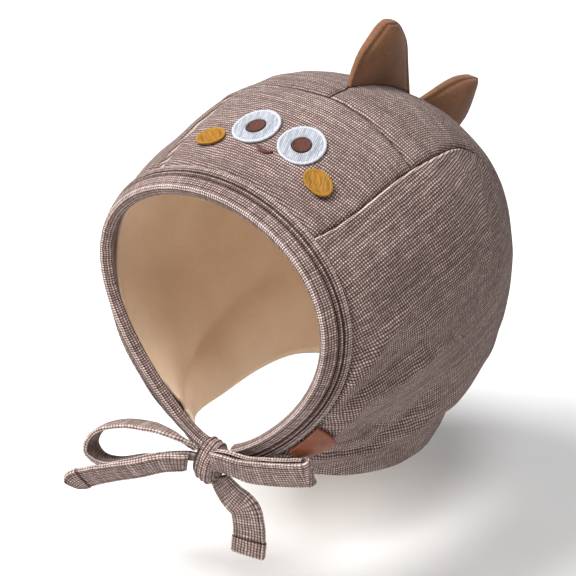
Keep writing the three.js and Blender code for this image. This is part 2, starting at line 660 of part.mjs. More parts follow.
const STRAPS = [
  ['tie_loop_left', LOOP_LEFT, LOOP_LEFT_REACH, 22],
  ['tie_loop_right', LOOP_RIGHT, LOOP_RIGHT_REACH, 22],
  ['tie_tail_left', TAIL_LEFT, TAIL_LEFT_REACH, 12],
  ['tie_tail_down', TAIL_DOWN, TAIL_DOWN_DROP, 10],
];
for (const [name, rows, reach, steps] of STRAPS) {
  const strap = strapBody(rows, reach, steps);
  addBody(name, strap.points, strap.faces, KNIT, 0.95);
}
const KNOT_SECTIONS = [
  { out: -0.5, size: 0.82 },
  { out: -0.4, size: 0.95 },
  { out: -0.15, size: 1 },
  { out: 0.15, size: 1 },
  { out: 0.4, size: 0.95 },
  { out: 0.5, size: 0.82 },
];
const knotTurn = new THREE.Euler(
  THREE.MathUtils.degToRad(-15),
  THREE.MathUtils.degToRad(KNOT_LEAN),
  0,
);
const knotSections = KNOT_SECTIONS.map(({ out, size }) => {
  const ring = [];
  for (let k = 0; k < 12; k++) {
    const turn = (2 * Math.PI * k) / 12;
    const y = (KNOT_DEPTH / 2) * size * Math.cos(turn);
    const z = (KNOT_HEIGHT / 2) * size * Math.sin(turn);
    ring.push(new THREE.Vector3(out * KNOT_LENGTH, y, z).applyEuler(knotTurn).add(knotCentre));
  }
  return ring;
});
const knot = tubeBody(knotSections);
addBody('tie_knot', knot.points, knot.faces, KNIT, 0.95);

export default hat;
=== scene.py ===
import math

import bmesh
import bpy
import numpy as np
from mathutils import Matrix, Vector


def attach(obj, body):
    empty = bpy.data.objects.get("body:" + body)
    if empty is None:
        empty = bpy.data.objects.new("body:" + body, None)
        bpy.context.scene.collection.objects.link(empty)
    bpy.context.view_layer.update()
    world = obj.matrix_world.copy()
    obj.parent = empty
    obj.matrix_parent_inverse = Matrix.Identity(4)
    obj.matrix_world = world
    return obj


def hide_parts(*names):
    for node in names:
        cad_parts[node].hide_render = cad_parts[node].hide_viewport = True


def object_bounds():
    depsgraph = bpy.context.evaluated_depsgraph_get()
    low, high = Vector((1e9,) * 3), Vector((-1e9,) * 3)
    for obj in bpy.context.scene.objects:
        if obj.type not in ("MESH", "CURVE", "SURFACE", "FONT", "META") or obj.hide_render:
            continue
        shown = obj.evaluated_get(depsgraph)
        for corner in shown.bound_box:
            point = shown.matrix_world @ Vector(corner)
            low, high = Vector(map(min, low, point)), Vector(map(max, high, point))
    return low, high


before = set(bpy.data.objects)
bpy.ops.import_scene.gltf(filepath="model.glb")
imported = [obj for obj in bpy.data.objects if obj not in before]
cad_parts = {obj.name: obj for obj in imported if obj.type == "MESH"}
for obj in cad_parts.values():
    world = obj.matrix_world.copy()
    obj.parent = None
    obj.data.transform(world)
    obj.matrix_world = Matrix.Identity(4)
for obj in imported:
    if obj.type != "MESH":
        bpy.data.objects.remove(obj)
CAD_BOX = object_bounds()

# Sizes in mm, in the frame of the hat's chin; SEAT moves them to the row's frame
HAT_LENGTH = 154.0
HAT_HALF_WIDTH = 68.0
PANEL_WALL = 2.2
LINING_WALL = 1.0
LAYER_GAP = 1.1
SEAM_GAP = 0.4
BAND_WIDTH = 12.0
BAND_LIFT = 0.9
BAND_DEPTH = 3.9
BAND_WIDTH_AT_CHIN = 8.0
SPIKE_FRONT_HEIGHT = 34.0
SPIKE_REAR_HEIGHT = 36.0
SPIKE_THICKNESS = 9.0
SPIKE_EDGE = 1.4
SPIKE_SINK = -0.3
PATCH_WALL = 0.7
PATCH_GAP = 0.35
PATCH_BOTTOM = 0.1
UNDER_PATCH = 0.06
UNDER_SPIKES = -0.34
TAB_REACH = 13.5
TAB_WIDTH = 21.0
TAB_BEHIND_BAND = 0.6
TAB_WALL = 1.2
TIE_WIDTH = 12.0
TIE_WALL = 2.4
KNOT_HEIGHT = 17.0
KNOT_DEPTH = 10.0
KNOT_LENGTH = 10.0
FRONT_PANEL_END = 0.312
SIDE_PANEL_END = 0.84
LINING_END = 0.83
ALONG_SCALE = HAT_LENGTH * 1.3
ACROSS_SCALE = HAT_HALF_WIDTH * 2.9
SEAM_DEPTH = 0.95
SEAM_DIP = 0.4
CREASE_DEPTH = 1.5
HEM_RISE = 0.8
FOLD_RISE = 2.3
FOLD_SINK = 1.9
FAR_SIDE_FOLDS = 0.8
DEEPEST = -1.75
PANEL_TUCK = -0.75
PANEL_UNDER_BAND = 0.3
NO_EDGE = 99.0
MM = 0.001
SIDES = (("left", 1), ("right", -1))

# Hoops of the hat: place, turn in degrees, reach, half width, egg, full, bow. The values are
# the rounded result of a least-squares fit to points from the photo.
HOOPS = [
    (0.0, 0.5, 0.66, 0.72, 0.176, -0.025, -0.023),
    (0.15, 10.8, 0.733, 0.94, 0.008, 0.025, 0.016),
    (0.3, 25.0, 0.877, 0.981, 0.014, 0.037, 0.044),
    (0.45, 37.8, 0.964, 1.0, 0.048, 0.036, 0.051),
    (0.6, 56.8, 0.998, 0.922, 0.055, 0.031, 0.055),
    (0.75, 74.0, 0.9, 0.844, 0.071, 0.027, 0.064),
    (0.9, 84.3, 0.804, 0.721, 0.102, 0.035, 0.058),
    (1.0, 97.7, 0.703, 0.626, 0.143, 0.044, 0.062),
]
SIDE_SEAM = [
    (0.0, 0.168),
    (0.1, 0.187),
    (0.2, 0.203),
    (0.3, 0.199),
    (0.4, 0.183),
    (0.5, 0.178),
    (0.58, 0.25),
    (0.68, 0.32),
    (0.84, 0.33),
    (1.0, 0.32),
]
NECK_CREASE = [(0.0, 0.93), (0.36, 0.905), (0.55, 0.8), (0.73, 0.68), (0.9, 0.5)]


def curve_through(rows, value):
    """Natural cubic curve through the rows of a table, as a function of its first column."""
    x = np.array([row[0] for row in rows])
    y = np.array([row[value] for row in rows])
    h = np.diff(x)
    n = len(x)
    a = np.eye(n)
    b = np.zeros(n)
    for i in range(1, n - 1):
        a[i, i - 1 : i + 2] = h[i - 1], 2 * (h[i - 1] + h[i]), h[i]
        b[i] = 6 * ((y[i + 1] - y[i]) / h[i] - (y[i] - y[i - 1]) / h[i - 1])
    bend = np.linalg.solve(a, b)

    def at(t):
        k = np.clip(np.searchsorted(x, t, side="left") - 1, 0, n - 2)
        p = (x[k + 1] - t) / h[k]
        q = (t - x[k]) / h[k]
        curved = ((p**3 - p) * bend[k] + (q**3 - q) * bend[k + 1]) * h[k] ** 2 / 6
        return p * y[k] + q * y[k + 1] + curved

    return at


hoop = [curve_through(HOOPS, column) for column in range(1, 7)]
seam_across = curve_through(SIDE_SEAM, 1)
crease_place = curve_through(NECK_CREASE, 1)


def smooth(low, high, value):
    a = np.clip((value - low) / (high - low), 0, 1)
    return a * a * (3 - 2 * a)


def mix(a, b, share):
    return a + (b - a) * share


def hill(value, middle, width):
    """One at the middle value, falling to nothing within a few widths."""
    return np.exp(-(((value - middle) / width) ** 2))


def grid(rows, columns):
    """Shares down and across a grid."""
    return np.linspace(0, 1, rows + 1)[:, None], np.linspace(0, 1, columns + 1)[None, :]


def walked_along(points):
    """Length walked to each point of a line or grid."""
    steps = np.linalg.norm(np.diff(points, axis=0), axis=-1)
    return np.concatenate([np.zeros((1, *steps.shape[1:])), np.cumsum(steps, axis=0)])


def hoop_point(t, s):
    turn, reach, half, egg, full, bow = [f(t) for f in hoop]
    turn = np.radians(turn)
    rise = reach * HAT_LENGTH * (1 + np.cos(np.pi * s)) / 2
    bow = bow * HAT_LENGTH * np.sin(np.pi * s) ** 2
    wide = np.sin(np.pi * s) + egg * np.sin(2 * np.pi * s) + full * np.sin(3 * np.pi * s)
    return np.stack(
        [
            half * HAT_HALF_WIDTH * wide,
            np.sin(turn) * rise + np.cos(turn) * bow,
            np.cos(turn) * rise - np.sin(turn) * bow,
        ],
        -1,
    )


def hat_point(t, s):
    t, s = np.broadcast_arrays(np.asarray(t, float), np.asarray(s, float))
    round_share = (0.2 + 0.8 * smooth(0, 0.42, 1 - np.abs(s)))[..., None]
    start = hoop_point(np.zeros_like(t), s)
    end = hoop_point(np.ones_like(t), s)
    straight = mix(start, end, t[..., None])
    return mix(straight, hoop_point(t, s), round_share)


def unit(v):
    return v / np.maximum(np.linalg.norm(v, axis=-1, keepdims=True), 1e-12)


def outward_at(surface, t, s):
    e = 1e-3
    along = surface(t + e, s) - surface(t - e, s)
    across = surface(t, s + e) - surface(t, s - e)
    return unit(np.cross(across, along))


def hat_at(t, s, lift):
    t, s = np.broadcast_arrays(np.asarray(t, float), np.asarray(s, float))
    lift = np.asarray(lift, float)[..., None]
    return hat_point(t, s) + outward_at(hat_point, t, s) * lift


places = np.arange(0, 1.0005, 0.002)
seat_place = places[np.argmax(hat_point(places, 0.0)[:, 2])]
SEAT = hat_point(seat_place, 0.0).copy()
SEAT[2] -= PANEL_WALL + LAYER_GAP + LINING_WALL

# Length walked behind the face edge, kept as a table over the share across
WALK_S = np.linspace(-1, 1, 401)
WALK_T = np.linspace(0, 1, 401)
WALKED = walked_along(hat_point(WALK_T[:, None], WALK_S[None, :]))


def place_behind_edge(s, length):
    """Place on the row through s that lies a given length behind the face edge."""
    s, length = np.broadcast_arrays(np.asarray(s, float), np.asarray(length, float))
    at = (s + 1) / 2 * (len(WALK_S) - 1)
    k = np.clip(np.floor(at).astype(int), 0, len(WALK_S) - 2)
    share = at - k
    found = np.zeros(s.shape)
    flat = found.reshape(-1)
    for i, (k_, f_, l_) in enumerate(zip(k.reshape(-1), share.reshape(-1), length.reshape(-1))):
        row = WALKED[:, k_] * (1 - f_) + WALKED[:, k_ + 1] * f_
        flat[i] = np.interp(l_, row, WALK_T)
    return found


def waves(points, length, count, seed):
    """Smooth noise of about unit size: the sum of a few seeded plane waves."""
    rng = np.random.default_rng(seed)
    way = unit(rng.normal(size=(count, 3)))
    pitch = length * rng.uniform(0.75, 1.4, count)
    phase = rng.uniform(0, 2 * np.pi, count)
    total = np.zeros(points.shape[:-1])
    for w, p, f in zip(way, pitch, phase):
        total += np.sin(points @ w * (2 * np.pi / p) + f)
    return total / math.sqrt(count)


# ---- meshes ----
def sheet_faces(rows, columns):
    """Quads of two grids, outer then inner, joined round the rim."""
    index = np.arange((rows + 1) * (columns + 1)).reshape(rows + 1, columns + 1)
    quads = np.stack([index[:-1, :-1], index[:-1, 1:], index[1:, 1:], index[1:, :-1]], -1)
    quads = quads.reshape(-1, 4)
    layer = index.size
    rim = np.concatenate([index[0, :-1], index[:-1, -1], index[-1, :0:-1], index[:0:-1, 0]])
    after = np.roll(rim, -1)
    sides = np.stack([rim, rim + layer, after + layer, after], -1)
    return np.concatenate([quads, quads[:, ::-1] + layer, sides])


def tube_faces(rings, size, closed=False):
    index = np.arange(rings * size).reshape(rings, size)
    nxt = np.roll(index, -1, axis=0) if closed else index[1:]
    cur = index if closed else index[:-1]
    quads = np.stack(
        [cur, np.roll(cur, -1, axis=1), np.roll(nxt, -1, axis=1), nxt], -1
    ).reshape(-1, 4)
    return quads


def capped_tube(rings, size):
    first = list(range(size))[::-1]
    last = [(rings - 1) * size + k for k in range(size)]
    return [*tube_faces(rings, size), first, last]


def add_piece(name, points, faces, material, slot, nodes=(), uv=None, edge=None):
    """A closed mesh from points in mm, turned to face outward, riding on the hat."""
    points = np.asarray(points, float).reshape(-1, 3)
    faces = [tuple(int(i) for i in face) for face in faces]
    mesh = bpy.data.meshes.new(name)
    mesh.from_pydata([tuple(p) for p in (points - SEAT) * MM], [], faces)
    solid = bmesh.new()
    solid.from_mesh(mesh)
    inside_out = solid.calc_volume(signed=True) < 0
    solid.free()
    if inside_out:
        mesh.flip_normals()
    corner = np.zeros(len(mesh.loops), np.int32)
    mesh.loops.foreach_get("vertex_index", corner)
    for label, values in (("Cloth", uv), ("Edge", edge)):
        if values is not None:
            values = np.asarray(values, float).reshape(-1, 2)
            layer = mesh.uv_layers.new(name=label)
            layer.uv.foreach_set("vector", values[corner].astype(np.float32).ravel())
    mesh.polygons.foreach_set("use_smooth", np.ones(len(mesh.polygons), bool))
    mesh.update()
    mesh.validate()
    piece = bpy.data.objects.new(name, mesh)
    bpy.context.scene.collection.objects.link(piece)
    mesh.materials.append(material)
    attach(piece, "root")
    if nodes:
        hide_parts(*nodes)
    return piece


def add_sheet(name, outer, inner, material, slot, nodes, uv, edge=None):
    """A sheet between an outer and an inner grid, with the same maps on both."""
    points = np.concatenate([outer.reshape(-1, 3), inner.reshape(-1, 3)])
    faces = sheet_faces(outer.shape[0] - 1, outer.shape[1] - 1)
    maps = [m if m is None else np.concatenate([m.reshape(-1, 2)] * 2) for m in (uv, edge)]
    return add_piece(name, points, faces, material, slot, nodes, *maps)


# ---- materials ----
def srgb(red, green, blue):
    def one(value):
        c = value / 255
        return c / 12.92 if c <= 0.04045 else ((c + 0.055) / 1.055) ** 2.4

    return (one(red), one(green), one(blue), 1.0)


# Knit tones run from the painted shade in the gaps between cells to the painted highlight on the yarn's
# tops, with the yarn's own streaks and flecks in between
KNIT_TONES = [srgb(46, 31, 29), srgb(99, 79, 74), srgb(153, 132, 126), srgb(202, 184, 177)]
KNIT_STOPS = (0.3, 0.58, 0.88, 1.0)


class Look:
    """A material and short calls that add nodes to it."""

    def __init__(self, name, roughness, sheen=0.0, sheen_roughness=0.5, specular=0.3):
        self.material = bpy.data.materials.new(name)
        self.material.use_nodes = True
        self.tree = self.material.node_tree
        self.shader = self.tree.nodes["Principled BSDF"]
        self.shader.inputs["Roughness"].default_value = roughness
        self.shader.inputs["Sheen Weight"].default_value = sheen
        self.shader.inputs["Sheen Roughness"].default_value = sheen_roughness
        self.shader.inputs["Specular IOR Level"].default_value = specular

    def add(self, kind, **settings):
        node = self.tree.nodes.new(kind)
        for key, value in settings.items():
            setattr(node, key, value)
        return node

    def feed(self, socket, value):
        if isinstance(value, bpy.types.NodeSocket):
            self.tree.links.new(value, socket)
        else:
            socket.default_value = value

    def math(self, operation, a, b=0.0, c=0.0):
        node = self.add("ShaderNodeMath", operation=operation)
        for socket, value in zip(node.inputs, (a, b, c)):
            self.feed(socket, value)
        return node.outputs[0]

    def bell(self, value, middle, width):
        """The same hill, in nodes."""
        off = self.math("DIVIDE", self.math("SUBTRACT", value, middle), width)
        falling = self.math("MULTIPLY", self.math("MULTIPLY", off, off), -1.0)
        return self.math("POWER", math.e, falling)

    def cloth(self, label="Cloth"):
        """The two lengths of the cloth's own map, in mm."""
        uv = self.add("ShaderNodeUVMap", uv_map=label)
        parts = self.add("ShaderNodeSeparateXYZ")
        self.feed(parts.inputs[0], uv.outputs[0])
        return parts.outputs[0], parts.outputs[1]

    def vector(self, x, y, z=0.0):
        node = self.add("ShaderNodeCombineXYZ")
        for socket, value in zip(node.inputs, (x, y, z)):
            self.feed(socket, value)
        return node.outputs[0]

    def noise(self, vector, scale, detail=2.0, roughness=0.5):
        node = self.add("ShaderNodeTexNoise")
        self.feed(node.inputs["Vector"], vector)
        node.inputs["Scale"].default_value = scale
        node.inputs["Detail"].default_value = detail
        node.inputs["Roughness"].default_value = roughness
        return node.outputs[0]

    def random(self, x, y):
        node = self.add("ShaderNodeTexWhiteNoise", noise_dimensions="2D")
        self.feed(node.inputs["Vector"], self.vector(x, y))
        return node.outputs[0]

    def place(self):
        """Place on the object in mm, for what runs on across pieces."""
        node = self.add("ShaderNodeTexCoord")
        scaled = self.add("ShaderNodeVectorMath", operation="SCALE")
        self.feed(scaled.inputs[0], node.outputs["Object"])
        scaled.inputs["Scale"].default_value = 1 / MM
        return scaled.outputs[0]

    def ramp(self, value, stops):
        node = self.add("ShaderNodeValToRGB")
        self.feed(node.inputs[0], value)
        while len(node.color_ramp.elements) < len(stops):
            node.color_ramp.elements.new(0.5)
        for element, (at, color) in zip(node.color_ramp.elements, stops):
            element.position = at
            element.color = color
        return node.outputs[0]

    def bump(self, height, depth, strength=1.0):
        node = self.add("ShaderNodeBump")
        node.inputs["Strength"].default_value = strength
        node.inputs["Distance"].default_value = depth * MM
        self.feed(node.inputs["Height"], height)
        self.feed(self.shader.inputs["Normal"], node.outputs[0])

    def color(self, value):
        self.feed(self.shader.inputs["Base Color"], value)


def knit_look(name, cell_u, cell_v, row_line, column_line, edge_stitch_highlight=0.0, hem=None):
    """Waffle knit with painted shade in the dark lines between cells and a painted highlight on the
    raised yarn; rims lighten with stitches and a painted highlight of the lit edge, beside a painted
    shade line; hem places one more painted shade line.
    """
    look = Look(name, 0.95, sheen=0.06, sheen_roughness=0.6, specular=0.08)
    u, v = look.cloth()
    flat = look.vector(u, v)
    wander = look.noise(flat, 0.22, 2.0)
    wander = look.math("MULTIPLY", look.math("SUBTRACT", wander, 0.5), 0.9)
    cu = look.math("DIVIDE", look.math("ADD", u, wander), cell_u)
    cv = look.math("DIVIDE", look.math("ADD", v, wander), cell_v)
    column = look.math("ABSOLUTE", look.math("SINE", look.math("MULTIPLY", cu, math.pi)))
    row = look.math("ABSOLUTE", look.math("SINE", look.math("MULTIPLY", cv, math.pi)))
    column = look.math("POWER", column, column_line)
    row = look.math("POWER", row, row_line)
    height = look.math("MULTIPLY", column, row)
    cell = look.random(look.math("FLOOR", cu), look.math("FLOOR", cv))
    yarn = look.vector(look.math("MULTIPLY", u, 0.14), look.math("MULTIPLY", v, 0.95))
    streak = look.noise(yarn, 1.0, 3.0, 0.6)
    patch = look.noise(look.place(), 0.035, 2.0)
    course = look.random(look.math("FLOOR", cv), 0.5)
    # the raised yarn is painted lighter and the gaps between cells darker: painted highlight and
    # painted shade from the bump's own height
    tone = look.math("MULTIPLY", height, 0.72)
    tone = look.math("MULTIPLY_ADD", cell, 0.12, tone)
    tone = look.math("MULTIPLY_ADD", course, 0.1, tone)
    tone = look.math("MULTIPLY_ADD", streak, 0.4, look.math("ADD", tone, 0.03))
    tone = look.math("MULTIPLY_ADD", patch, 0.16, tone)
    if edge_stitch_highlight:
        rim, to_end = look.cloth("Edge")
        # lighter stitches near seams, the band's sewn edge and fold, and strap edges: partly the
        # stitches' own colour, partly a painted highlight of the edge catching light
        stitches = look.math("MULTIPLY", look.bell(rim, 0.35, 0.6), row)
        tone = look.math("MULTIPLY_ADD", stitches, edge_stitch_highlight, tone)
        # a darker line just beside the lighter edge: painted shade under the edge ridge
        tone = look.math("MULTIPLY_ADD", look.bell(rim, 1.6, 0.45), -0.14, tone)
        # painted shade: a dark line along the band's two grooves and across the tie's hem crease
        if hem is not None:
            tone = look.math("MULTIPLY_ADD", look.bell(to_end, hem, 0.45), -0.5, tone)
    stops = list(zip(KNIT_STOPS, KNIT_TONES))
    look.color(look.ramp(look.math("MULTIPLY", tone, 0.86), stops))
    look.bump(height, 0.34, 1.0)
    return look.material


def lining_look():
    look = Look("lining_cloth", 0.85, sheen=0.15, specular=0.15)
    u, v = look.cloth()
    column = look.math("SINE", look.math("MULTIPLY", u, 2 * math.pi / 0.7))
    row = look.math("SINE", look.math("MULTIPLY", v, 2 * math.pi / 0.6))
    weave = look.math("MULTIPLY_ADD", column, 0.6, look.math("MULTIPLY", row, 0.4))
    patch = look.noise(look.place(), 0.05, 3.0)
    tone = look.math("MULTIPLY_ADD", weave, 0.05, patch)
    look.color(look.ramp(tone, [(0.3, srgb(220, 194, 166)), (0.7, srgb(230, 206, 180))]))
    look.bump(weave, 0.05, 0.6)
    return look.material


def spike_look():
    look = Look("spike_cloth", 0.85, sheen=0.2, sheen_roughness=0.4, specular=0.15)
    u, v = look.cloth()
    across = look.math("SINE", look.math("MULTIPLY", look.math("ADD", u, v), 2 * math.pi / 0.8))
    drawn = look.vector(look.math("MULTIPLY", u, 2.4), look.math("MULTIPLY", v, 0.9))
    grain = look.noise(drawn, 1.0, 3.0, 0.7)
    patch = look.noise(look.place(), 0.09, 2.0)
    tone = look.math("MULTIPLY_ADD", across, 0.08, look.math("MULTIPLY", grain, 0.6))
    tone = look.math("MULTIPLY_ADD", patch, 0.4, tone)
    stops = [(0.25, srgb(88, 60, 43)), (0.55, srgb(122, 84, 61)), (0.85, srgb(150, 110, 83))]
    look.color(look.ramp(tone, stops))
    look.bump(tone, 0.12, 0.7)
    return look.material


def leather_look():
    look = Look("leather", 0.48, specular=0.4)
    u, v = look.cloth()
    grain = look.noise(look.vector(u, v), 2.6, 5.0, 0.65)
    patch = look.noise(look.vector(u, v), 0.25, 2.0)
    tone = look.math("MULTIPLY_ADD", patch, 0.6, look.math("MULTIPLY", grain, 0.4))
    stops = [(0.3, srgb(76, 32, 9)), (0.5, srgb(104, 48, 16)), (0.72, srgb(132, 66, 26))]
    look.color(look.ramp(tone, stops))
    look.bump(grain, 0.12, 0.6)
    return look.material


def thread_look(name, dark, light, rim_dark, rim_light, pitch, rim=1.1, slant=0.35):
    """Satin stitches: a filled middle of fine threads and an outline of short cross stitches, each
    painted darker between threads as painted shade and lighter on top as painted highlight.
    """
    look = Look(name, 0.5, sheen=0.1, specular=0.3)
    u, v = look.cloth()
    w = look.math("MULTIPLY_ADD", v, slant, u)
    wander = look.noise(look.vector(u, v), 0.8, 2.0)
    w = look.math("MULTIPLY_ADD", wander, 0.7, w)
    fill = look.math("ABSOLUTE", look.math("SINE", look.math("MULTIPLY", w, math.pi / pitch)))
    rows = look.math("FLOOR", look.math("DIVIDE", v, 2.3))
    each = look.random(look.math("FLOOR", look.math("DIVIDE", w, pitch)), rows)
    depth, round_way = look.cloth("Edge")
    stitch = look.math("MULTIPLY", round_way, math.pi / 0.5)
    stitch = look.math("ABSOLUTE", look.math("SINE", stitch))
    on_rim = look.math("LESS_THAN", depth, rim)
    # the colour follows the thread ridges: painted shade between threads and painted highlight on them,
    # mixed with a random tone per thread
    thread = look.math("MULTIPLY_ADD", fill, 0.5, look.math("MULTIPLY", each, 0.5))
    middle = look.ramp(thread, [(0.1, dark), (0.85, light)])
    # the outline's stitches are painted the same way: painted shade between them, painted highlight on
    # top
    outline = look.ramp(stitch, [(0.1, rim_dark), (0.8, rim_light)])
    mixed = look.add("ShaderNodeMix", data_type="RGBA")
    look.feed(mixed.inputs[0], on_rim)
    look.feed(mixed.inputs[6], middle)
    look.feed(mixed.inputs[7], outline)
    look.color(mixed.outputs[2])
    height = look.math("MULTIPLY", fill, look.math("SUBTRACT", 1.0, on_rim))
    height = look.math("MULTIPLY_ADD", stitch, on_rim, height)
    look.bump(height, 0.16, 0.9)
    return look.material


KNIT = knit_look("knit", 1.0, 1.06, row_line=0.9, column_line=0.6)
# knit_side, knit_band and knit_tie paint lighter edge stitches with a painted highlight and a painted
# shade line beside them; knit_band and knit_tie also paint shade along the grooves and the hem
KNIT_SIDE = knit_look("knit_side", 1.0, 1.08, row_line=0.8, column_line=0.7, edge_stitch_highlight=0.55)
KNIT_BAND = knit_look("knit_band", 1.05, 0.95, row_line=0.7, column_line=0.6, edge_stitch_highlight=0.28, hem=0.0)
KNIT_TIE = knit_look("knit_tie", 1.1, 1.15, row_line=0.34, column_line=0.7, edge_stitch_highlight=0.22, hem=7.6)
KNIT_KNOT = knit_look("knit_knot", 1.2, 0.8, row_line=0.5, column_line=0.8)
LINING = lining_look()
SPIKE = spike_look()
LEATHER = leather_look()
# Tones of each thread: dark and light in the middle, dark and light on the rim
# the white thread is given grey-blue tones all over: painted shade
WHITE_TONES = [srgb(108, 112, 121), srgb(170, 173, 181), srgb(150, 154, 163), srgb(196, 199, 206)]
YELLOW_TONES = [srgb(72, 40, 1), srgb(166, 114, 3), srgb(108, 68, 2), srgb(170, 118, 5)]
DARK_TONES = [srgb(46, 18, 14), srgb(96, 50, 38), srgb(38, 15, 12), srgb(70, 34, 27)]
WHITE = thread_look("white_thread", *WHITE_TONES, pitch=0.8)
YELLOW = thread_look("yellow_thread", *YELLOW_TONES, pitch=0.8, slant=1.2)
DARK = thread_look("dark_thread", *DARK_TONES, rim=0.5, pitch=0.5)


# ---- cloth maps ----
def cloth_map(points, across_way):
    """A map in mm of a grid of points whose first length runs along across_way."""
    n, m = points.shape[:2]
    index = np.arange(n * m).reshape(n, m)
    a = np.concatenate([index[:-1].ravel(), index[:, :-1].ravel()])
    b = np.concatenate([index[1:].ravel(), index[:, 1:].ravel()])
    flat = points.reshape(-1, 3)
    along = np.gradient(points, axis=0)
    across = np.gradient(points, axis=1)
    normal = unit(np.cross(along, across)).reshape(-1, 3)
    way = np.broadcast_to(across_way, flat.shape)
    first = unit(way - normal * (way * normal).sum(-1, keepdims=True))
    second = np.cross(normal, first)
    step = flat[b] - flat[a]
    matrix = np.zeros((n * m, n * m))
    weight = 1 / np.maximum((step**2).sum(-1), 1e-6)
    np.add.at(matrix, (a, a), weight)
    np.add.at(matrix, (b, b), weight)
    np.add.at(matrix, (a, b), -weight)
    np.add.at(matrix, (b, a), -weight)
    matrix[0, 0] += 1e-3
    result = []
    for way in (first, second):
        want = (step * (way[a] + way[b]) / 2).sum(-1) * weight
        right = np.zeros(n * m)
        np.add.at(right, a, -want)
        np.add.at(right, b, want)
        result.append(np.linalg.solve(matrix, right))
    return np.stack(result, -1).reshape(n, m, 2)


def spread_map(coarse, rows, columns):
    """A coarse map read at a finer grid."""
    n, m = coarse.shape[:2]
    i = np.linspace(0, n - 1, rows + 1)
    j = np.linspace(0, m - 1, columns + 1)
    maps = []
    for c in (0, 1):
        half = np.stack([np.interp(j, np.arange(m), coarse[k, :, c]) for k in range(n)])
        maps.append(np.stack([np.interp(i, np.arange(n), column) for column in half.T], 1))
    return np.stack(maps, -1)


# ---- panels ----
HALF_SEAM = SEAM_GAP / 2 / ACROSS_SCALE


def seam_lean(t):
    return (seam_across(t + 0.01) - seam_across(t - 0.01)) / 0.02 * (ACROSS_SCALE / ALONG_SCALE)


def seam_slope(t):
    return np.hypot(1, seam_lean(t))


def band_edge_for(across_at):
    t = np.array(0.085)
    for _ in range(8):
        t = place_behind_edge(across_at(t), BAND_WIDTH - PANEL_UNDER_BAND)
    return t


def seam_distance(t, s):
    """Length in mm from a point to the nearest seam."""
    u = np.abs(s)
    side = np.abs(u - seam_across(t)) * ACROSS_SCALE / seam_slope(t)
    to_back = np.abs(t - FRONT_PANEL_END) * ALONG_SCALE
    back = np.where(u < seam_across(FRONT_PANEL_END), to_back, NO_EDGE)
    centre = np.where(t > FRONT_PANEL_END, u * ACROSS_SCALE, NO_EDGE)
    return np.minimum(side, np.minimum(back, centre))


# height and width in mm, then places and shares across along the fold
FOLDS = [
    (1.1, 3.4, [(0.08, 0.58), (0.11, 0.5), (0.18, 0.45), (0.3, 0.42)]),
    (-1.0, 2.8, [(0.1, 0.6), (0.14, 0.55), (0.23, 0.54), (0.37, 0.52)]),
    (1.0, 3.0, [(0.15, 0.62), (0.23, 0.6), (0.36, 0.58), (0.45, 0.54), (0.56, 0.48)]),
    (-1.4, 3.2, [(0.4, 0.7), (0.68, 0.65), (0.66, 0.61), (0.62, 0.56)]),
    (0.9, 3.0, [(0.84, 0.66), (0.78, 0.62), (0.75, 0.58), (0.7, 0.53)]),
    (0.35, 2.6, [(0.47, 0.2), (0.47, 0.3), (0.5, 0.38), (0.62, 0.43)]),
    (-0.3, 2.4, [(0.495, 0.21), (0.495, 0.31), (0.53, 0.38), (0.64, 0.42)]),
    (0.35, 2.6, [(0.515, 0.22), (0.52, 0.31), (0.57, 0.38), (0.66, 0.4)]),
    (-0.6, 4.5, [(0.37, 0.2), (0.39, 0.22), (0.4, 0.25)]),
    (0.5, 3.0, [(0.33, 0.21), (0.36, 0.25), (0.38, 0.29)]),
    (-0.6, 5.0, [(0.15, 0.22), (0.2, 0.25), (0.28, 0.29)]),
    (0.45, 4.0, [(0.22, 0.46), (0.36, 0.49), (0.49, 0.46)]),
    (-0.5, 4.0, [(0.09, 0.22), (0.09, 0.3), (0.09, 0.42), (0.1, 0.5)]),
    (0.5, 4.5, [(0.15, 0.05), (0.22, 0.11), (0.29, 0.17)]),
    (-0.5, 4.0, [(0.12, 0.1), (0.17, 0.15), (0.21, 0.19)]),
]


def fold_lift(t, s, points):
    """Soft folds drawn on both sides of the hat; the far side's are a little weaker."""
    total = np.zeros(s.shape)
    for side, strength in ((1, 1.0), (-1, FAR_SIDE_FOLDS)):
        for height, width, stops in FOLDS:
            rows = np.linspace(0, len(stops) - 1, 16)
            line_t = np.interp(rows, np.arange(len(stops)), [stop[0] for stop in stops])
            line_s = side * np.interp(rows, np.arange(len(stops)), [stop[1] for stop in stops])
            line = hat_point(line_t, line_s)
            near = np.full(s.shape, 1e9)
            at = np.zeros(s.shape)
            for k in range(len(line) - 1):
                way = line[k + 1] - line[k]
                share = np.clip(((points - line[k]) @ way) / (way @ way), 0, 1)
                gap = np.linalg.norm(points - line[k] - share[..., None] * way, axis=-1)
                at = np.where(gap < near, (k + share) / (len(line) - 1), at)
                near = np.minimum(near, gap)
            fade = 0.25 + 0.75 * np.sin(np.pi * at)
            scale = FOLD_RISE if height > 0 else FOLD_SINK
            total += scale * strength * height * fade * hill(near, 0, width)
    return total


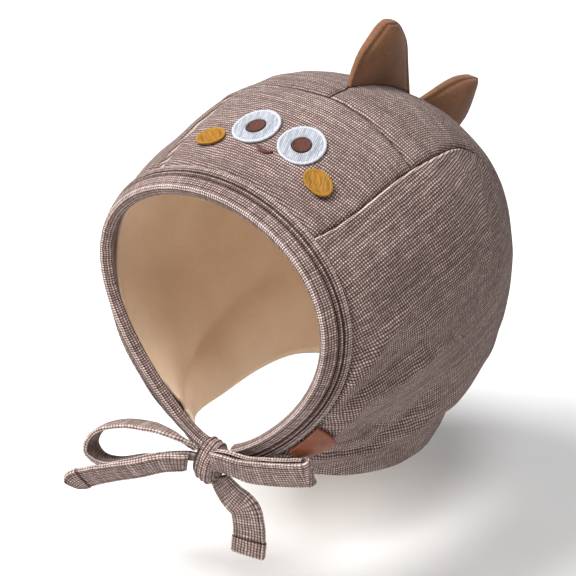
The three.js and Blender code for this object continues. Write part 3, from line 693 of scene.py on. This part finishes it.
def outer_lift(t, s, points, beside):
    """How far the outer face stands from the middle surface: seams, crease and soft folds."""
    seam = seam_distance(t, s)
    lift = -SEAM_DEPTH * hill(seam, 0, 1.0) - SEAM_DIP * hill(seam, 0, 5)
    lift = lift + beside * hill(seam, 2.0, 1.2)
    crease = (t - crease_place(np.minimum(np.abs(s), 0.9))) * ALONG_SCALE * 0.6
    lift = lift - CREASE_DEPTH * hill(crease, 0, 4) + HEM_RISE * hill(crease, -8, 5)
    lift = lift + 0.28 * waves(points, 34, 9, 11) + 0.14 * waves(points, 13, 9, 12)
    lift = lift + fold_lift(t, s, points) * smooth(0, 6, seam)
    beside_centre = smooth(7.5, 5, np.abs(points[..., 0]))
    on_foot = smooth(0.352, 0.364, t) * smooth(0.634, 0.624, t) * beside_centre
    lift = mix(np.maximum(lift, DEEPEST), UNDER_SPIKES, on_foot)
    # the cloth lies flat under the embroidery and the leather tab
    on_face = smooth(0.115, 0.135, t) * smooth(0.275, 0.255, t) * smooth(0.2, 0.17, np.abs(s))
    under_tab = smooth(0.58, 0.61, s) * smooth(0.8, 0.77, s) * smooth(0.27, 0.23, t)
    return mix(lift, np.minimum(lift, UNDER_PATCH), np.maximum(on_face, under_tab))


def panel(name, rows, columns, place_at, across_at, way, node, beside=0.0, at_band=True):
    a, b = grid(rows, columns)
    t = place_at(a, b)
    s = across_at(t, b)
    t, s = np.broadcast_arrays(t, s)
    middle = hat_point(t, s)
    walked = walked_along(middle) if at_band else np.full(t.shape, NO_EDGE)
    lift = outer_lift(t, s, middle, beside)
    # the edge by the binding dips under it, and the cloth swells a little behind it
    lift = mix(lift, PANEL_TUCK, hill(walked, 0, 1.3)) + 0.35 * hill(walked, 3.2, 1.6)
    outer = hat_at(t, s, lift)
    inner = hat_at(t, s, -PANEL_WALL)
    step_r = max(1, rows // 24)
    step_c = max(1, columns // 20)
    coarse = cloth_map(outer[::step_r, ::step_c], np.asarray(way, float))
    uv = spread_map(coarse, rows, columns)
    # distance to the seam, where the side panel's knit paints lighter stitches with a painted highlight
    # and a painted shade line
    rim = np.stack([seam_distance(t, s), np.full(t.shape, NO_EDGE)], -1)
    look = KNIT_SIDE if beside else KNIT
    return add_sheet(name, outer, inner, look, "knit", [node], uv, rim)


def front_across(t, b):
    return (2 * b - 1) * (seam_across(t) - HALF_SEAM * seam_slope(t))


FRONT_END = FRONT_PANEL_END - SEAM_GAP / 2 / ALONG_SCALE


def band_edges(across, b):
    """Place of the binding's edge on each line that keeps its share b across a panel."""
    return np.array([[float(band_edge_for(lambda t, k=k: across(t, k))) for k in b.ravel()]])


def front_place(a, b):
    return mix(band_edges(front_across, b), FRONT_END, a)


panel("front_cloth", 48, 80, front_place, front_across, (1, 0, 0), "front_panel")

for label, side in SIDES:
    crown_start = FRONT_PANEL_END + SEAM_GAP / 2 / ALONG_SCALE

    def crown_place(a, b):
        return mix(crown_start, 1, a) + 0 * b

    def crown_across(t, b, side=side):
        return side * mix(HALF_SEAM, seam_across(t) - HALF_SEAM * seam_slope(t), b)

    way = (1, 0, 0)
    panel(f"crown_cloth_{label}", 192, 40, crown_place, crown_across, way, f"crown_{label}", 0, False)

    def seam_edge(t):
        return seam_across(t) + HALF_SEAM * seam_slope(t)

    def side_across(t, b, side=side):
        return side * mix(seam_edge(t), SIDE_PANEL_END, 1 - (1 - b) ** 1.3)

    def side_place(a, b, across=side_across):
        return mix(band_edges(across, b), 1, a)

    way = (0, 0.97, 0.25)
    panel(f"side_cloth_{label}", 144, 120, side_place, side_across, way, f"side_{label}", 0.45)


def eased(way, power):
    return np.sign(way) * (1 - (1 - np.abs(way)) ** power)


# ---- lining ----
LINING_TOP = -PANEL_WALL - LAYER_GAP


def make_lining():
    rows, columns = 96, 160
    a, b = grid(rows, columns)
    s = LINING_END * eased(2 * b - 1, 1.3)
    start = place_behind_edge(s, BAND_WIDTH + SEAM_GAP * (3 + 8 * smooth(0.65, 0.8, np.abs(s))))
    t = mix(start, 1, a)
    s = np.broadcast_to(s, t.shape)
    soft = 0.25 * waves(hat_point(t, s), 40, 8, 21)
    outer = hat_at(t, s, LINING_TOP)
    inner = hat_at(t, s, LINING_TOP - LINING_WALL + soft - 0.25)
    coarse = cloth_map(inner[::4, ::8], np.array((1.0, 0, 0)))
    uv = spread_map(coarse, rows, columns)
    return add_sheet("lining_cloth", outer, inner, LINING, "lining_cloth", ["lining"], uv)


make_lining()

# ---- binding ----
CHIN_WAY = unit(np.array((0, 0.35, -0.94)))
BAND_ENDS = (-0.968, 0.882)


def band_point(f, s):
    turn = smooth(0.85, 0.94, np.abs(s))[..., None]
    width = mix(BAND_WIDTH, BAND_WIDTH_AT_CHIN, turn)
    on_hat = hat_point(place_behind_edge(s, np.maximum(f, 0) * BAND_WIDTH), s)
    hanging = hat_point(np.zeros_like(s), s) + CHIN_WAY * f[..., None] * width
    return mix(on_hat, hanging, turn)


BAND_GROOVES = (0.55, 0.71)
# row of the profile that lies on the fold
FOLD_ROW = 64


def band_profile():
    """Back, lift and depth round the folded strip, from its sewn edge over the fold."""
    rows = [(0.965, 0.35, 0.0), (0.955, 0.8, 0.0)]
    for k in range(61):
        back = mix(0.93, 0.12, k / 60)
        rib = 0.08 * abs(math.sin(math.pi * (back - 0.03) / 0.18)) ** 0.6
        groove = sum(0.75 * math.exp(-(((back - at) / 0.028) ** 2)) for at in BAND_GROOVES)
        rows.append((back, 0.92 + rib - groove, 0.0))
    for k in range(1, 13):
        turn = math.pi * k / 13
        rows.append((0.02 + 0.1 * (1 - math.sin(turn)), 0.0, 0.5 - 0.5 * math.cos(turn)))
    for k in range(13):
        rows.append((mix(0.12, 0.92, k / 12), 0.0, 1.0))
    return rows


def make_band():
    steps = 420
    even = eased(np.linspace(-1, 1, steps + 1), 1.25)
    s = np.where(even < 0, -even * BAND_ENDS[0], even * BAND_ENDS[1])
    profile = band_profile()
    rings = []
    for back, lift, depth in profile:
        f = max(back, 0.02) + np.zeros_like(s)
        e = 2e-3
        along = band_point(f + 0.02, s) - band_point(f - 0.02, s)
        across = band_point(f, s + e) - band_point(f, s - e)
        outward = unit(np.cross(across, along))
        # the fold's height runs from the raised face at depth 0 to the inner face at depth 1
        height = lift * BAND_LIFT if depth == 0 else mix(BAND_LIFT, -BAND_DEPTH, depth)
        rings.append(band_point(np.full(s.shape, back), s) + outward * height)
    rings = np.stack(rings, 1)
    size = len(profile)
    walked = walked_along(rings[:, size // 3])
    round_length = walked_along(rings[steps // 2])
    uv = np.stack(np.broadcast_arrays(round_length[None, :], walked[:, None]), -1)
    fold = round_length[FOLD_ROW]
    # distance to the sewn edge and the fold, where the knit paints lighter stitches with a painted
    # highlight and a painted shade line
    rim = np.minimum(np.abs(round_length - 1.0) + 0.5, np.abs(round_length - fold))
    # distance to the band's grooves, where the knit paints shade
    groove = np.full(size, NO_EDGE)
    for k, (back, _, depth) in enumerate(profile):
        if depth == 0:
            groove[k] = min(abs(back - at) * BAND_WIDTH for at in BAND_GROOVES)
    rim = np.broadcast_to(np.stack([rim, groove], -1), (steps + 1, size, 2))
    faces = capped_tube(steps + 1, size)
    return add_piece("band_cloth", rings, faces, KNIT_BAND, "knit", ["face_band"], uv, rim)


make_band()

# ---- spikes ----
SPIKE_FRONT_FOOT = (0.362, 0.512)
SPIKE_REAR_FOOT = (0.535, 0.625)
# front edge back, up, rear edge back, up, as shares of the spike's height
SPIKE_FRONT_EDGES = [
    (0.05, 0.15, 1.015, -0.1),
    (0.15, 0.32, 0.985, 0.08),
    (0.27, 0.43, 0.945, 0.24),
    (0.38, 0.51, 0.87, 0.38),
    (0.47, 0.565, 0.79, 0.49),
    (0.54, 0.59, 0.7, 0.56),
]
SPIKE_REAR_EDGES = [
    (0.16, 0.015, 0.66, -0.62),
    (0.34, 0.04, 0.84, -0.5),
    (0.52, 0.055, 0.94, -0.37),
    (0.68, 0.05, 1.0, -0.23),
    (0.83, 0.02, 1.03, -0.13),
    (0.93, -0.01, 1.02, -0.06),
]


def make_spike(name, node, foot, edges, height):
    rows, columns = 56, 56
    a = np.linspace(0, 1, rows + 1)
    b = np.linspace(0, 1, columns + 1)
    start = hat_at(foot[0], 0.0, 0.0)
    on_foot = hat_at(mix(foot[0], foot[1], b), 0.0, SPIKE_SINK)
    front = [(on_foot[0, 1], on_foot[0, 2])]
    rear = [(on_foot[-1, 1], on_foot[-1, 2])]
    for fb, fu, rb, ru in edges:
        front.append((start[1] + fb * height, start[2] + fu * height))
        rear.append((start[1] + rb * height, start[2] + ru * height))
    rungs = np.linspace(0, 1, len(front))
    line_f = curve_points(rungs, np.array(front), a)
    line_r = curve_points(rungs, np.array(rear), a)
    flat = mix(line_f[:, None, :], line_r[:, None, :], b[None, :, None])
    bend = on_foot[:, 1:] - mix(on_foot[0, 1:], on_foot[-1, 1:], b[:, None])
    flat = flat + bend[None, :, :] * (1 - smooth(0, 0.18, a))[:, None, None]
    swell = np.sin(np.pi * b[None, :]) ** 0.7 * np.sin(np.pi * mix(0.1, 0.93, a[:, None])) ** 0.8
    reach = np.minimum(b, 1 - b)[None, :] * np.linalg.norm(line_r - line_f, axis=-1)[:, None]
    reach = np.minimum(reach, (1 - a)[:, None] * height * 0.6)
    half = SPIKE_EDGE / 2 + (SPIKE_THICKNESS - SPIKE_EDGE) / 2 * swell
    half = half - 0.5 * hill(reach, 1.9, 0.7) + 0.15 * hill(reach, 0, 0.9)
    faces = []
    for side in (1, -1):
        x = side * np.maximum(half, 0.35)
        face = np.concatenate([x[..., None], flat], -1)
        face[..., 0] += 0.25 * waves(face, 15, 6, 31) * smooth(0, 5, reach)
        faces.append(face)
    piece = add_sheet(name, *faces, SPIKE, "spike_cloth", [node], flat)
    return piece


def curve_points(at, values, want):
    """Natural cubic curves through 2-D or 3-D points."""
    return np.stack(
        [curve_through(list(zip(at, values[:, k])), 1)(want) for k in range(values.shape[1])], -1
    )


make_spike("spike_front_pad", "spike_front", SPIKE_FRONT_FOOT, SPIKE_FRONT_EDGES, SPIKE_FRONT_HEIGHT)
make_spike("spike_rear_pad", "spike_rear", SPIKE_REAR_FOOT, SPIKE_REAR_EDGES, SPIKE_REAR_HEIGHT)

# ---- embroidery ----
EYE_SPOT = (0.205, 0.0475)
CHEEK_SPOT = (0.172, 0.118)
MOUTH_SPOT = (0.168, 0.0)
EYE_SIZE = (18.4, 17.6)
PUPIL_SIZE = (7.2, 6.6)
CHEEK_SIZE = (12.8, 8.8)
MOUTH_SIZE = (7.0, 1.8)


def patch_point(spot, side, right, back, lift):
    t = spot[0]
    s = side * spot[1]
    e = 1e-3
    per_place = np.linalg.norm(hat_point(t + e, s) - hat_point(t - e, s)) / (2 * e)
    per_share = np.linalg.norm(hat_point(t, s + e) - hat_point(t, s - e)) / (2 * e)
    return hat_at(t + back / per_place, s + right / per_share, lift)


def make_oval(name, node, spot, side, size, material, slot, hole, rim, seed):
    """A stitched oval: a raised outline of stitches round a filled middle."""
    segments = 176
    turn = np.linspace(0, 2 * np.pi, segments, endpoint=False)
    rng = np.random.default_rng(seed)
    ragged = rng.uniform(-0.08, 0.08, segments)
    width, length = size
    radius = (width + length) / 4
    top = PATCH_GAP + PATCH_WALL
    inner = max(hole * radius, 0.02)
    rings = [(mix(inner, radius - rim, k / 14), top - 0.12) for k in range(15)]
    for k in range(1, 9):
        swell = math.sin(math.pi * k / 8) ** 0.6
        rings.append((radius - rim + rim * k / 8, top - 0.12 + 0.28 * swell))
    rings.append((radius, PATCH_GAP + 0.2))
    rings.append((radius - 0.15, PATCH_BOTTOM))
    rings.append((inner, PATCH_BOTTOM))
    points, uv, edge = [], [], []
    for r, lift in rings:
        share = r / radius + (ragged / radius if r > radius - 0.5 * rim else 0)
        right = width / 2 * share * np.cos(turn)
        back = length / 2 * share * np.sin(turn)
        points.append(patch_point(spot, side, right, back, lift))
        uv.append(np.stack([right, back], -1))
        edge.append(np.stack([np.full(segments, radius - r), turn * radius], -1))
    faces = [*tube_faces(len(rings), segments, closed=hole > 0)]
    if not hole:
        faces.append(list(range(segments)))
        faces.append([(len(rings) - 1) * segments + k for k in range(segments)][::-1])
    maps = np.stack(uv), np.stack(edge)
    return add_piece(name, np.stack(points), faces, material, slot, [node], *maps)


EYE_HOLE = (PUPIL_SIZE[0] + 2 * PATCH_GAP) / EYE_SIZE[0]
# part, middle, size, thread, slot, hole, rim, seed
OVALS = [
    ("eye", EYE_SPOT, EYE_SIZE, WHITE, "white_thread", EYE_HOLE, 1.2, 3),
    ("pupil", EYE_SPOT, PUPIL_SIZE, DARK, "dark_thread", 0, 0.7, 4),
    ("cheek", CHEEK_SPOT, CHEEK_SIZE, YELLOW, "yellow_thread", 0, 1.0, 5),
]
for label, side in SIDES:
    for part, spot, *rest in OVALS:
        make_oval(f"{part}_stitch_{label}", f"{part}_{label}", spot, side, *rest)


def make_mouth():
    rows, columns = 48, 10
    a, b = grid(rows, columns)
    width, thick = MOUTH_SIZE
    right = (a - 0.5) * width + 0 * b
    half = thick / 2 * (0.45 + 0.55 * np.sin(np.pi * a))
    back = (2 * b - 1) * half + 0.9 * (2 * a - 1) ** 2
    crown = np.sin(np.pi * b) ** 0.5 * np.sin(np.pi * np.clip(a, 0.02, 0.98)) ** 0.25
    top = patch_point(MOUTH_SPOT, 1, right, back, PATCH_GAP + 0.15 + (PATCH_WALL - 0.05) * crown)
    bottom = patch_point(MOUTH_SPOT, 1, right, back, PATCH_BOTTOM)
    uv = np.stack([right, back], -1)
    edge = np.stack(np.broadcast_arrays(2.0, a * width + 0 * b), -1)
    add_sheet("mouth_stitch", top, bottom, DARK, "dark_thread", ["mouth"], uv, edge)


make_mouth()

# ---- leather tab ----
TAB_SPOT = (0.64, 0.745)


def make_tab():
    rows, columns = 36, 56
    a, b = grid(rows, columns)
    s0 = mix(TAB_SPOT[0], TAB_SPOT[1], b)
    behind = BAND_WIDTH + TAB_BEHIND_BAND
    t0 = place_behind_edge(s0, behind)
    e = 1e-3
    slope = (place_behind_edge(s0 + e, behind) - place_behind_edge(s0 - e, behind)) / (2 * e)
    along = (hat_point(t0 + e, s0) - hat_point(t0 - e, s0)) / (2 * e)
    edge_way = (hat_point(t0 + slope * e, s0 + e) - hat_point(t0 - slope * e, s0 - e)) / (2 * e)
    share = (along * edge_way).sum(-1) / (edge_way * edge_way).sum(-1)
    straight = np.linalg.norm(along - share[..., None] * edge_way, axis=-1)
    step = a * TAB_REACH / straight
    t = t0 + step * (1 - share * slope)
    s = s0 - step * share
    edge = np.minimum(np.minimum(b, 1 - b) * TAB_WIDTH, (1 - a) * TAB_REACH)
    rounded = 0.28 * (1 - np.sqrt(np.clip(1 - (1 - np.clip(edge / 0.6, 0, 1)) ** 2, 0, 1)))
    curl = 0.9 * a**2
    base = PATCH_GAP + 0.25 + curl
    top = hat_at(t, s, base + TAB_WALL - rounded)
    bottom = hat_at(t, s, base + rounded)
    uv = np.stack(np.broadcast_arrays(b * TAB_WIDTH, a * TAB_REACH), -1)
    add_sheet("leather_tab", top, bottom, LEATHER, "leather", ["side_label"], uv)


make_tab()

# ---- bow ----
CHIN = np.array((4.0, -2.5, -3.5))
KNOT_TILT = -15
KNOT_LEAN = 8
KNOT_FULLNESS = 1.04
# a strap runs on toward the middle of the knot: shares of its first row
INTO_KNOT = np.array((0.82, 0.82, 0.82, 0.9, 1, 1, 1))
# out, ahead, up, wide, and the way the width points
LOOP_LEFT = [
    (-0.135, 0.1, 0.14, 0.5, 0, 0.6, -0.8),
    (-0.27, 0.18, 0.215, 0.75, 0, 0.85, -0.5),
    (-0.48, 0.25, 0.235, 0.95, -0.1, 0.93, -0.33),
    (-0.725, 0.335, 0.2, 1, -0.3, 0.9, -0.33),
    (-0.91, 0.4, 0.1, 1, -0.32, 0.89, -0.33),
    (-0.99, 0.43, -0.03, 1, -0.32, 0.89, -0.33),
    (-0.995, 0.43, -0.14, 1, -0.32, 0.89, -0.33),
    (-0.93, 0.41, -0.21, 1, -0.32, 0.89, -0.33),
    (-0.8, 0.36, -0.215, 1, -0.3, 0.9, -0.33),
    (-0.58, 0.285, -0.115, 0.95, -0.2, 0.92, -0.33),
    (-0.35, 0.2, -0.015, 0.8, 0, 0.85, -0.5),
    (-0.135, 0.1, 0.03, 0.5, 0, 0.6, -0.8),
]
LOOP_RIGHT = [
    (0.16, 0.14, 0.13, 0.62, 0, -0.2, 1),
    (0.26, 0.135, 0.15, 0.75, 0, -0.3, 1),
    (0.36, 0.11, 0.145, 0.88, 0, -0.4, 1),
    (0.47, 0.078, 0.142, 0.98, 0, -0.36, 1),
    (0.63, 0.03, 0.17, 1, 0, -0.36, 1),
    (0.78, -0.015, 0.21, 1, 0, -0.36, 1),
    (0.93, -0.06, 0.258, 1, 0, -0.36, 1),
    (1, -0.1, 0.28, 1, 0, -0.36, 1),
    (0.985, -0.155, 0.28, 1, 0, -0.36, 1),
    (0.91, -0.15, 0.258, 1, 0, -0.36, 1),
    (0.76, -0.108, 0.21, 1, 0, -0.36, 1),
    (0.61, -0.06, 0.17, 1, 0, -0.36, 1),
    (0.45, -0.01, 0.142, 0.95, 0, -0.45, 1),
    (0.34, 0.022, 0.145, 0.85, 0, -0.4, 1),
    (0.25, 0.045, 0.15, 0.7, 0, -0.3, 1),
    (0.16, 0.05, 0.13, 0.55, 0, -0.2, 1),
]
TAIL_LEFT = [
    (-0.14, 0.2, 0.0, 0.7, 0.1, -0.3, 0.95),
    (-0.27, 0.29, -0.02, 0.85, 0.15, -0.35, 0.92),
    (-0.43, 0.39, -0.09, 0.88, 0.2, -0.35, 0.9),
    (-0.63, 0.47, -0.185, 0.86, 0.25, -0.3, 0.9),
    (-0.83, 0.54, -0.29, 0.84, 0.3, -0.2, 0.9),
    (-0.95, 0.58, -0.365, 0.84, 0.35, -0.1, 0.9),
    (-1.02, 0.6, -0.44, 0.84, 0.5, 0, 0.8),
]
TAIL_DOWN = [
    (0.12, -0.03, -0.205, 0.7, 0.9, 0.25, 0.3),
    (0.27, -0.04, -0.33, 0.9, 0.85, 0.3, 0.35),
    (0.42, -0.07, -0.43, 1.05, 0.9, 0.3, 0.2),
    (0.465, -0.085, -0.6, 1.08, 0.95, 0.3, 0.05),
    (0.48, -0.09, -0.78, 1.1, 0.95, 0.3, 0),
    (0.475, -0.085, -1.0, 1.1, 0.95, 0.3, -0.02),
]


def centripetal(points, count):
    """Points along the centripetal Catmull-Rom curve, evenly by table row."""
    n = len(points)
    ends = [2 * points[0] - points[1], *points, 2 * points[-1] - points[-2]]
    result = []
    for share in np.linspace(0, n - 1, count + 1):
        k = min(int(share), n - 2)
        w = share - k
        p = ends[k : k + 4]
        gaps = [max(np.linalg.norm(p[i + 1] - p[i]) ** 0.5, 1e-4) for i in range(3)]
        d0, d1, d2 = gaps
        m1 = ((p[1] - p[0]) / d0 - (p[2] - p[0]) / (d0 + d1) + (p[2] - p[1]) / d1) * d1
        m2 = ((p[2] - p[1]) / d1 - (p[3] - p[1]) / (d1 + d2) + (p[3] - p[2]) / d2) * d1
        result.append(
            (2 * w**3 - 3 * w**2 + 1) * p[1]
            + (w**3 - 2 * w**2 + w) * m1
            + (3 * w**2 - 2 * w**3) * p[2]
            + (w**3 - w**2) * m2
        )
    return np.array(result)


def strap_outline():
    """Width and height shares round a flat sewn strap with stitched edges."""
    face = []
    for k in range(37):
        w = mix(0.93, -0.93, k / 36)
        edge = 0.2 * math.exp(-(((abs(w) - 0.78) / 0.05) ** 2))
        face.append((w, 0.88 - 0.22 * abs(w) ** 3 + 0.05 * math.cos(2 * math.pi * w * 2.5) - edge))
    rows = list(face)
    for k in range(1, 8):
        turn = math.pi * k / 8
        rows.append((-0.93 - 0.07 * math.sin(turn), 0.7 * math.cos(turn)))
    rows += [(-w, -h) for w, h in face]
    for k in range(1, 8):
        turn = math.pi * k / 8
        rows.append((0.93 + 0.07 * math.sin(turn), -0.7 * math.cos(turn)))
    return rows


def make_strap(name, node, rows, reach, count, hem=0.0, corner=0.0, loop=False):
    rows = np.array(rows, float)
    rows = np.concatenate([rows[:1] * INTO_KNOT, rows])
    if loop:
        rows = np.concatenate([rows, rows[-1:] * INTO_KNOT])
    way = rows[:, :3] * np.array((1, -1, 1)) * reach + CHIN
    centre = centripetal(way, count)
    along = unit(np.gradient(centre, axis=0))
    at = np.linspace(0, len(rows) - 1, count + 1)
    knots = np.arange(len(rows))
    face = np.stack([np.interp(at, knots, rows[:, 4 + k]) for k in range(3)], -1)
    half = np.interp(at, knots, rows[:, 3]) * TIE_WIDTH / 2
    wide = unit(face - along * (face * along).sum(-1, keepdims=True))
    thick = np.cross(along, wide)
    walked = walked_along(centre)
    left = walked[-1] - walked
    ends = np.clip((walked if loop else left) / 1.1 + (5 if loop else 0), 0.04, 1)
    ends = np.sqrt(1 - (1 - ends) ** 2)
    if hem:
        folded = smooth(hem + 0.6, hem - 0.6, left)
        ends = ends * (1 + 0.22 * folded - 0.3 * hill(left, hem, 0.5))
        half = half * (1 + 0.05 * smooth(hem + 0.4, hem - 0.4, left))
    outline = np.array(strap_outline())
    if not loop:
        half = half - corner * (1 - np.sqrt(1 - (1 - np.clip(left / corner, 0, 1)) ** 2))
    w = outline[:, 0][None, :] * half[:, None]
    h = outline[:, 1][None, :] * TIE_WALL / 2 * ends[:, None]
    h = h + 0.12 * np.sin(walked / 5.3 + 1)[:, None]
    points = centre[:, None] + wide[:, None] * w[..., None] + thick[:, None] * h[..., None]
    rim = np.concatenate([outline, outline[:1]]) * np.array((TIE_WIDTH / 2, TIE_WALL / 2))
    round_way = walked_along(rim)[:-1]
    uv = np.stack(np.broadcast_arrays(round_way[None, :], walked[:, None]), -1)
    # distance to the strap's sides, where the knit paints lighter stitches with a painted highlight and
    # a painted shade line
    side_gap = (1 - np.abs(outline[:, 0])) * TIE_WIDTH / 2
    # distance to the strap's end, whose hem line the knit darkens as painted shade
    to_end = left if hem else left + NO_EDGE
    rim = np.stack(np.broadcast_arrays(side_gap[None, :], to_end[:, None]), -1)
    faces = capped_tube(count + 1, len(outline))
    return add_piece(name, points, faces, KNIT_TIE, "knit", [node], uv, rim)


make_strap("loop_left_cloth", "tie_loop_left", LOOP_LEFT, 43, 240, loop=True)
make_strap("loop_right_cloth", "tie_loop_right", LOOP_RIGHT, 42, 220, loop=True)
make_strap("tail_left_cloth", "tie_tail_left", TAIL_LEFT, 45, 160, hem=7.6, corner=4.2)
make_strap("tail_down_cloth", "tie_tail_down", TAIL_DOWN, 36, 130, hem=7.6, corner=1.6)


def make_knot():
    columns, segments = 110, 120
    swing = np.linspace(0, np.pi, columns + 1)
    out = -0.5 * np.sign(np.cos(swing)) * np.abs(np.cos(swing)) ** 0.55
    size = KNOT_FULLNESS * np.maximum(np.sin(swing), 0.004) ** 0.42
    ribs = 0.035 * np.cos(2 * np.pi * out * 4.4)
    size = size * (1 + ribs - 0.05 * hill(np.abs(out), 0.36, 0.03))
    turn = np.linspace(0, 2 * np.pi, segments, endpoint=False)
    y = KNOT_DEPTH / 2 * size[:, None] * np.cos(turn)[None, :]
    z = KNOT_HEIGHT / 2 * size[:, None] * np.sin(turn)[None, :]
    x = np.broadcast_to(out[:, None] * KNOT_LENGTH, y.shape)
    tilt = np.array(Matrix.Rotation(math.radians(KNOT_TILT), 3, "X"))
    lean = np.array(Matrix.Rotation(math.radians(KNOT_LEAN), 3, "Y"))
    points = np.stack([x, y, z], -1) @ (tilt @ lean).T + CHIN
    ring = points.reshape(columns + 1, segments, 3)
    walked = walked_along(ring[:, 0])
    uv = np.stack(np.broadcast_arrays(walked[:, None], turn[None, :] * 6.9), -1)
    faces = capped_tube(columns + 1, segments)
    return add_piece("knot_cloth", points, faces, KNIT_KNOT, "knit", ["tie_knot"], uv)


make_knot()


# ---- floor, light and camera ----
FLOOR_REACH = 6.0
FLOOR_DROP = 0.02
WORLD_STRENGTH = 0.35
LIGHT_TARGET = Vector((0, 0, -0.05))
LIGHT_DISTANCE = 1.3
SENSOR_WIDTH = 36


def make_floor():
    look = Look("floor", 0.8, specular=0.1)
    grain = look.noise(look.place(), 0.02, 2.0)
    look.color(look.ramp(grain, [(0.3, (0.9, 0.9, 0.9, 1)), (0.7, (0.93, 0.93, 0.93, 1))]))
    low = CAD_BOX[0].z - FLOOR_DROP
    corners = [(x * FLOOR_REACH, y * FLOOR_REACH, low) for x, y in ((-1, -1), (1, -1), (1, 1), (-1, 1))]
    mesh = bpy.data.meshes.new("floor")
    mesh.from_pydata(corners, [], [(0, 1, 2, 3)])
    floor = bpy.data.objects.new("floor", mesh)
    bpy.context.scene.collection.objects.link(floor)
    mesh.materials.append(look.material)


make_floor()

world = bpy.data.worlds.new("studio")
bpy.context.scene.world = world
world.use_nodes = True
sky = world.node_tree.nodes["Background"]
sky.inputs[0].default_value = (1, 1, 1, 1)
sky.inputs[1].default_value = WORLD_STRENGTH


def add_light(name, azimuth, elevation, size, power):
    light = bpy.data.lights.new(name, "AREA")
    light.shape = "DISK"
    light.size = size
    light.energy = power
    lamp = bpy.data.objects.new(name, light)
    a, e = math.radians(azimuth), math.radians(elevation)
    back = Vector((math.sin(a) * math.cos(e), -math.cos(a) * math.cos(e), math.sin(e)))
    lamp.location = LIGHT_TARGET + back * LIGHT_DISTANCE
    lamp.rotation_mode = "QUATERNION"
    lamp.rotation_quaternion = (-back).to_track_quat("-Z", "Y")
    bpy.context.scene.collection.objects.link(lamp)


add_light("key", -38, 56, 0.7, 26)
add_light("front", -30, 10, 0.5, 3.5)
add_light("side", 45, 66, 0.4, 6)
bpy.context.scene.view_settings.view_transform = "Standard"

# The photo's camera, from the same least-squares fit as the hoops
CAM_AZIMUTH, CAM_ELEVATION, CAM_ROLL = 38.32, 28.33, -3.36
CAM_DISTANCE, CAM_SCALE = 885.6, 2.683
CAM_TARGET, CAM_TARGET_PIXEL = np.array((0, 64.4, 69.0)), (329.29, 222.35)
FRAME_PIXELS = 576


def make_camera():
    a, e, roll = map(math.radians, (CAM_AZIMUTH, CAM_ELEVATION, CAM_ROLL))
    right = np.array((math.cos(a), math.sin(a), 0))
    up = np.array((-math.sin(a) * math.sin(e), math.cos(a) * math.sin(e), math.cos(e)))
    back = np.array((math.sin(a) * math.cos(e), -math.cos(a) * math.cos(e), math.sin(e)))
    x = FRAME_PIXELS / 2 - CAM_TARGET_PIXEL[0]
    y = CAM_TARGET_PIXEL[1] - FRAME_PIXELS / 2
    p = (x * math.cos(roll) + y * math.sin(roll)) / CAM_SCALE
    q = (-x * math.sin(roll) + y * math.cos(roll)) / CAM_SCALE
    eye = CAM_TARGET + back * CAM_DISTANCE
    aim = unit(CAM_TARGET + right * p + up * q - eye)
    sideways = right * math.cos(roll) - up * math.sin(roll)
    sideways = unit(sideways - aim * float(sideways @ aim))
    upward = np.cross(sideways, aim)
    data = bpy.data.cameras.new("photo_view")
    data.sensor_width = SENSOR_WIDTH
    data.lens = CAM_SCALE * CAM_DISTANCE / FRAME_PIXELS * SENSOR_WIDTH
    data.clip_start, data.clip_end = 0.05, 20
    camera = bpy.data.objects.new("photo_view", data)
    bpy.context.scene.collection.objects.link(camera)
    matrix = Matrix.Identity(4)
    for row in range(3):
        matrix[row][0], matrix[row][1], matrix[row][2] = sideways[row], upward[row], -aim[row]
        matrix[row][3] = (eye[row] - SEAT[row]) * MM
    camera.matrix_world = matrix
    bpy.context.scene.camera = camera


make_camera()
bpy.context.view_layer.update()
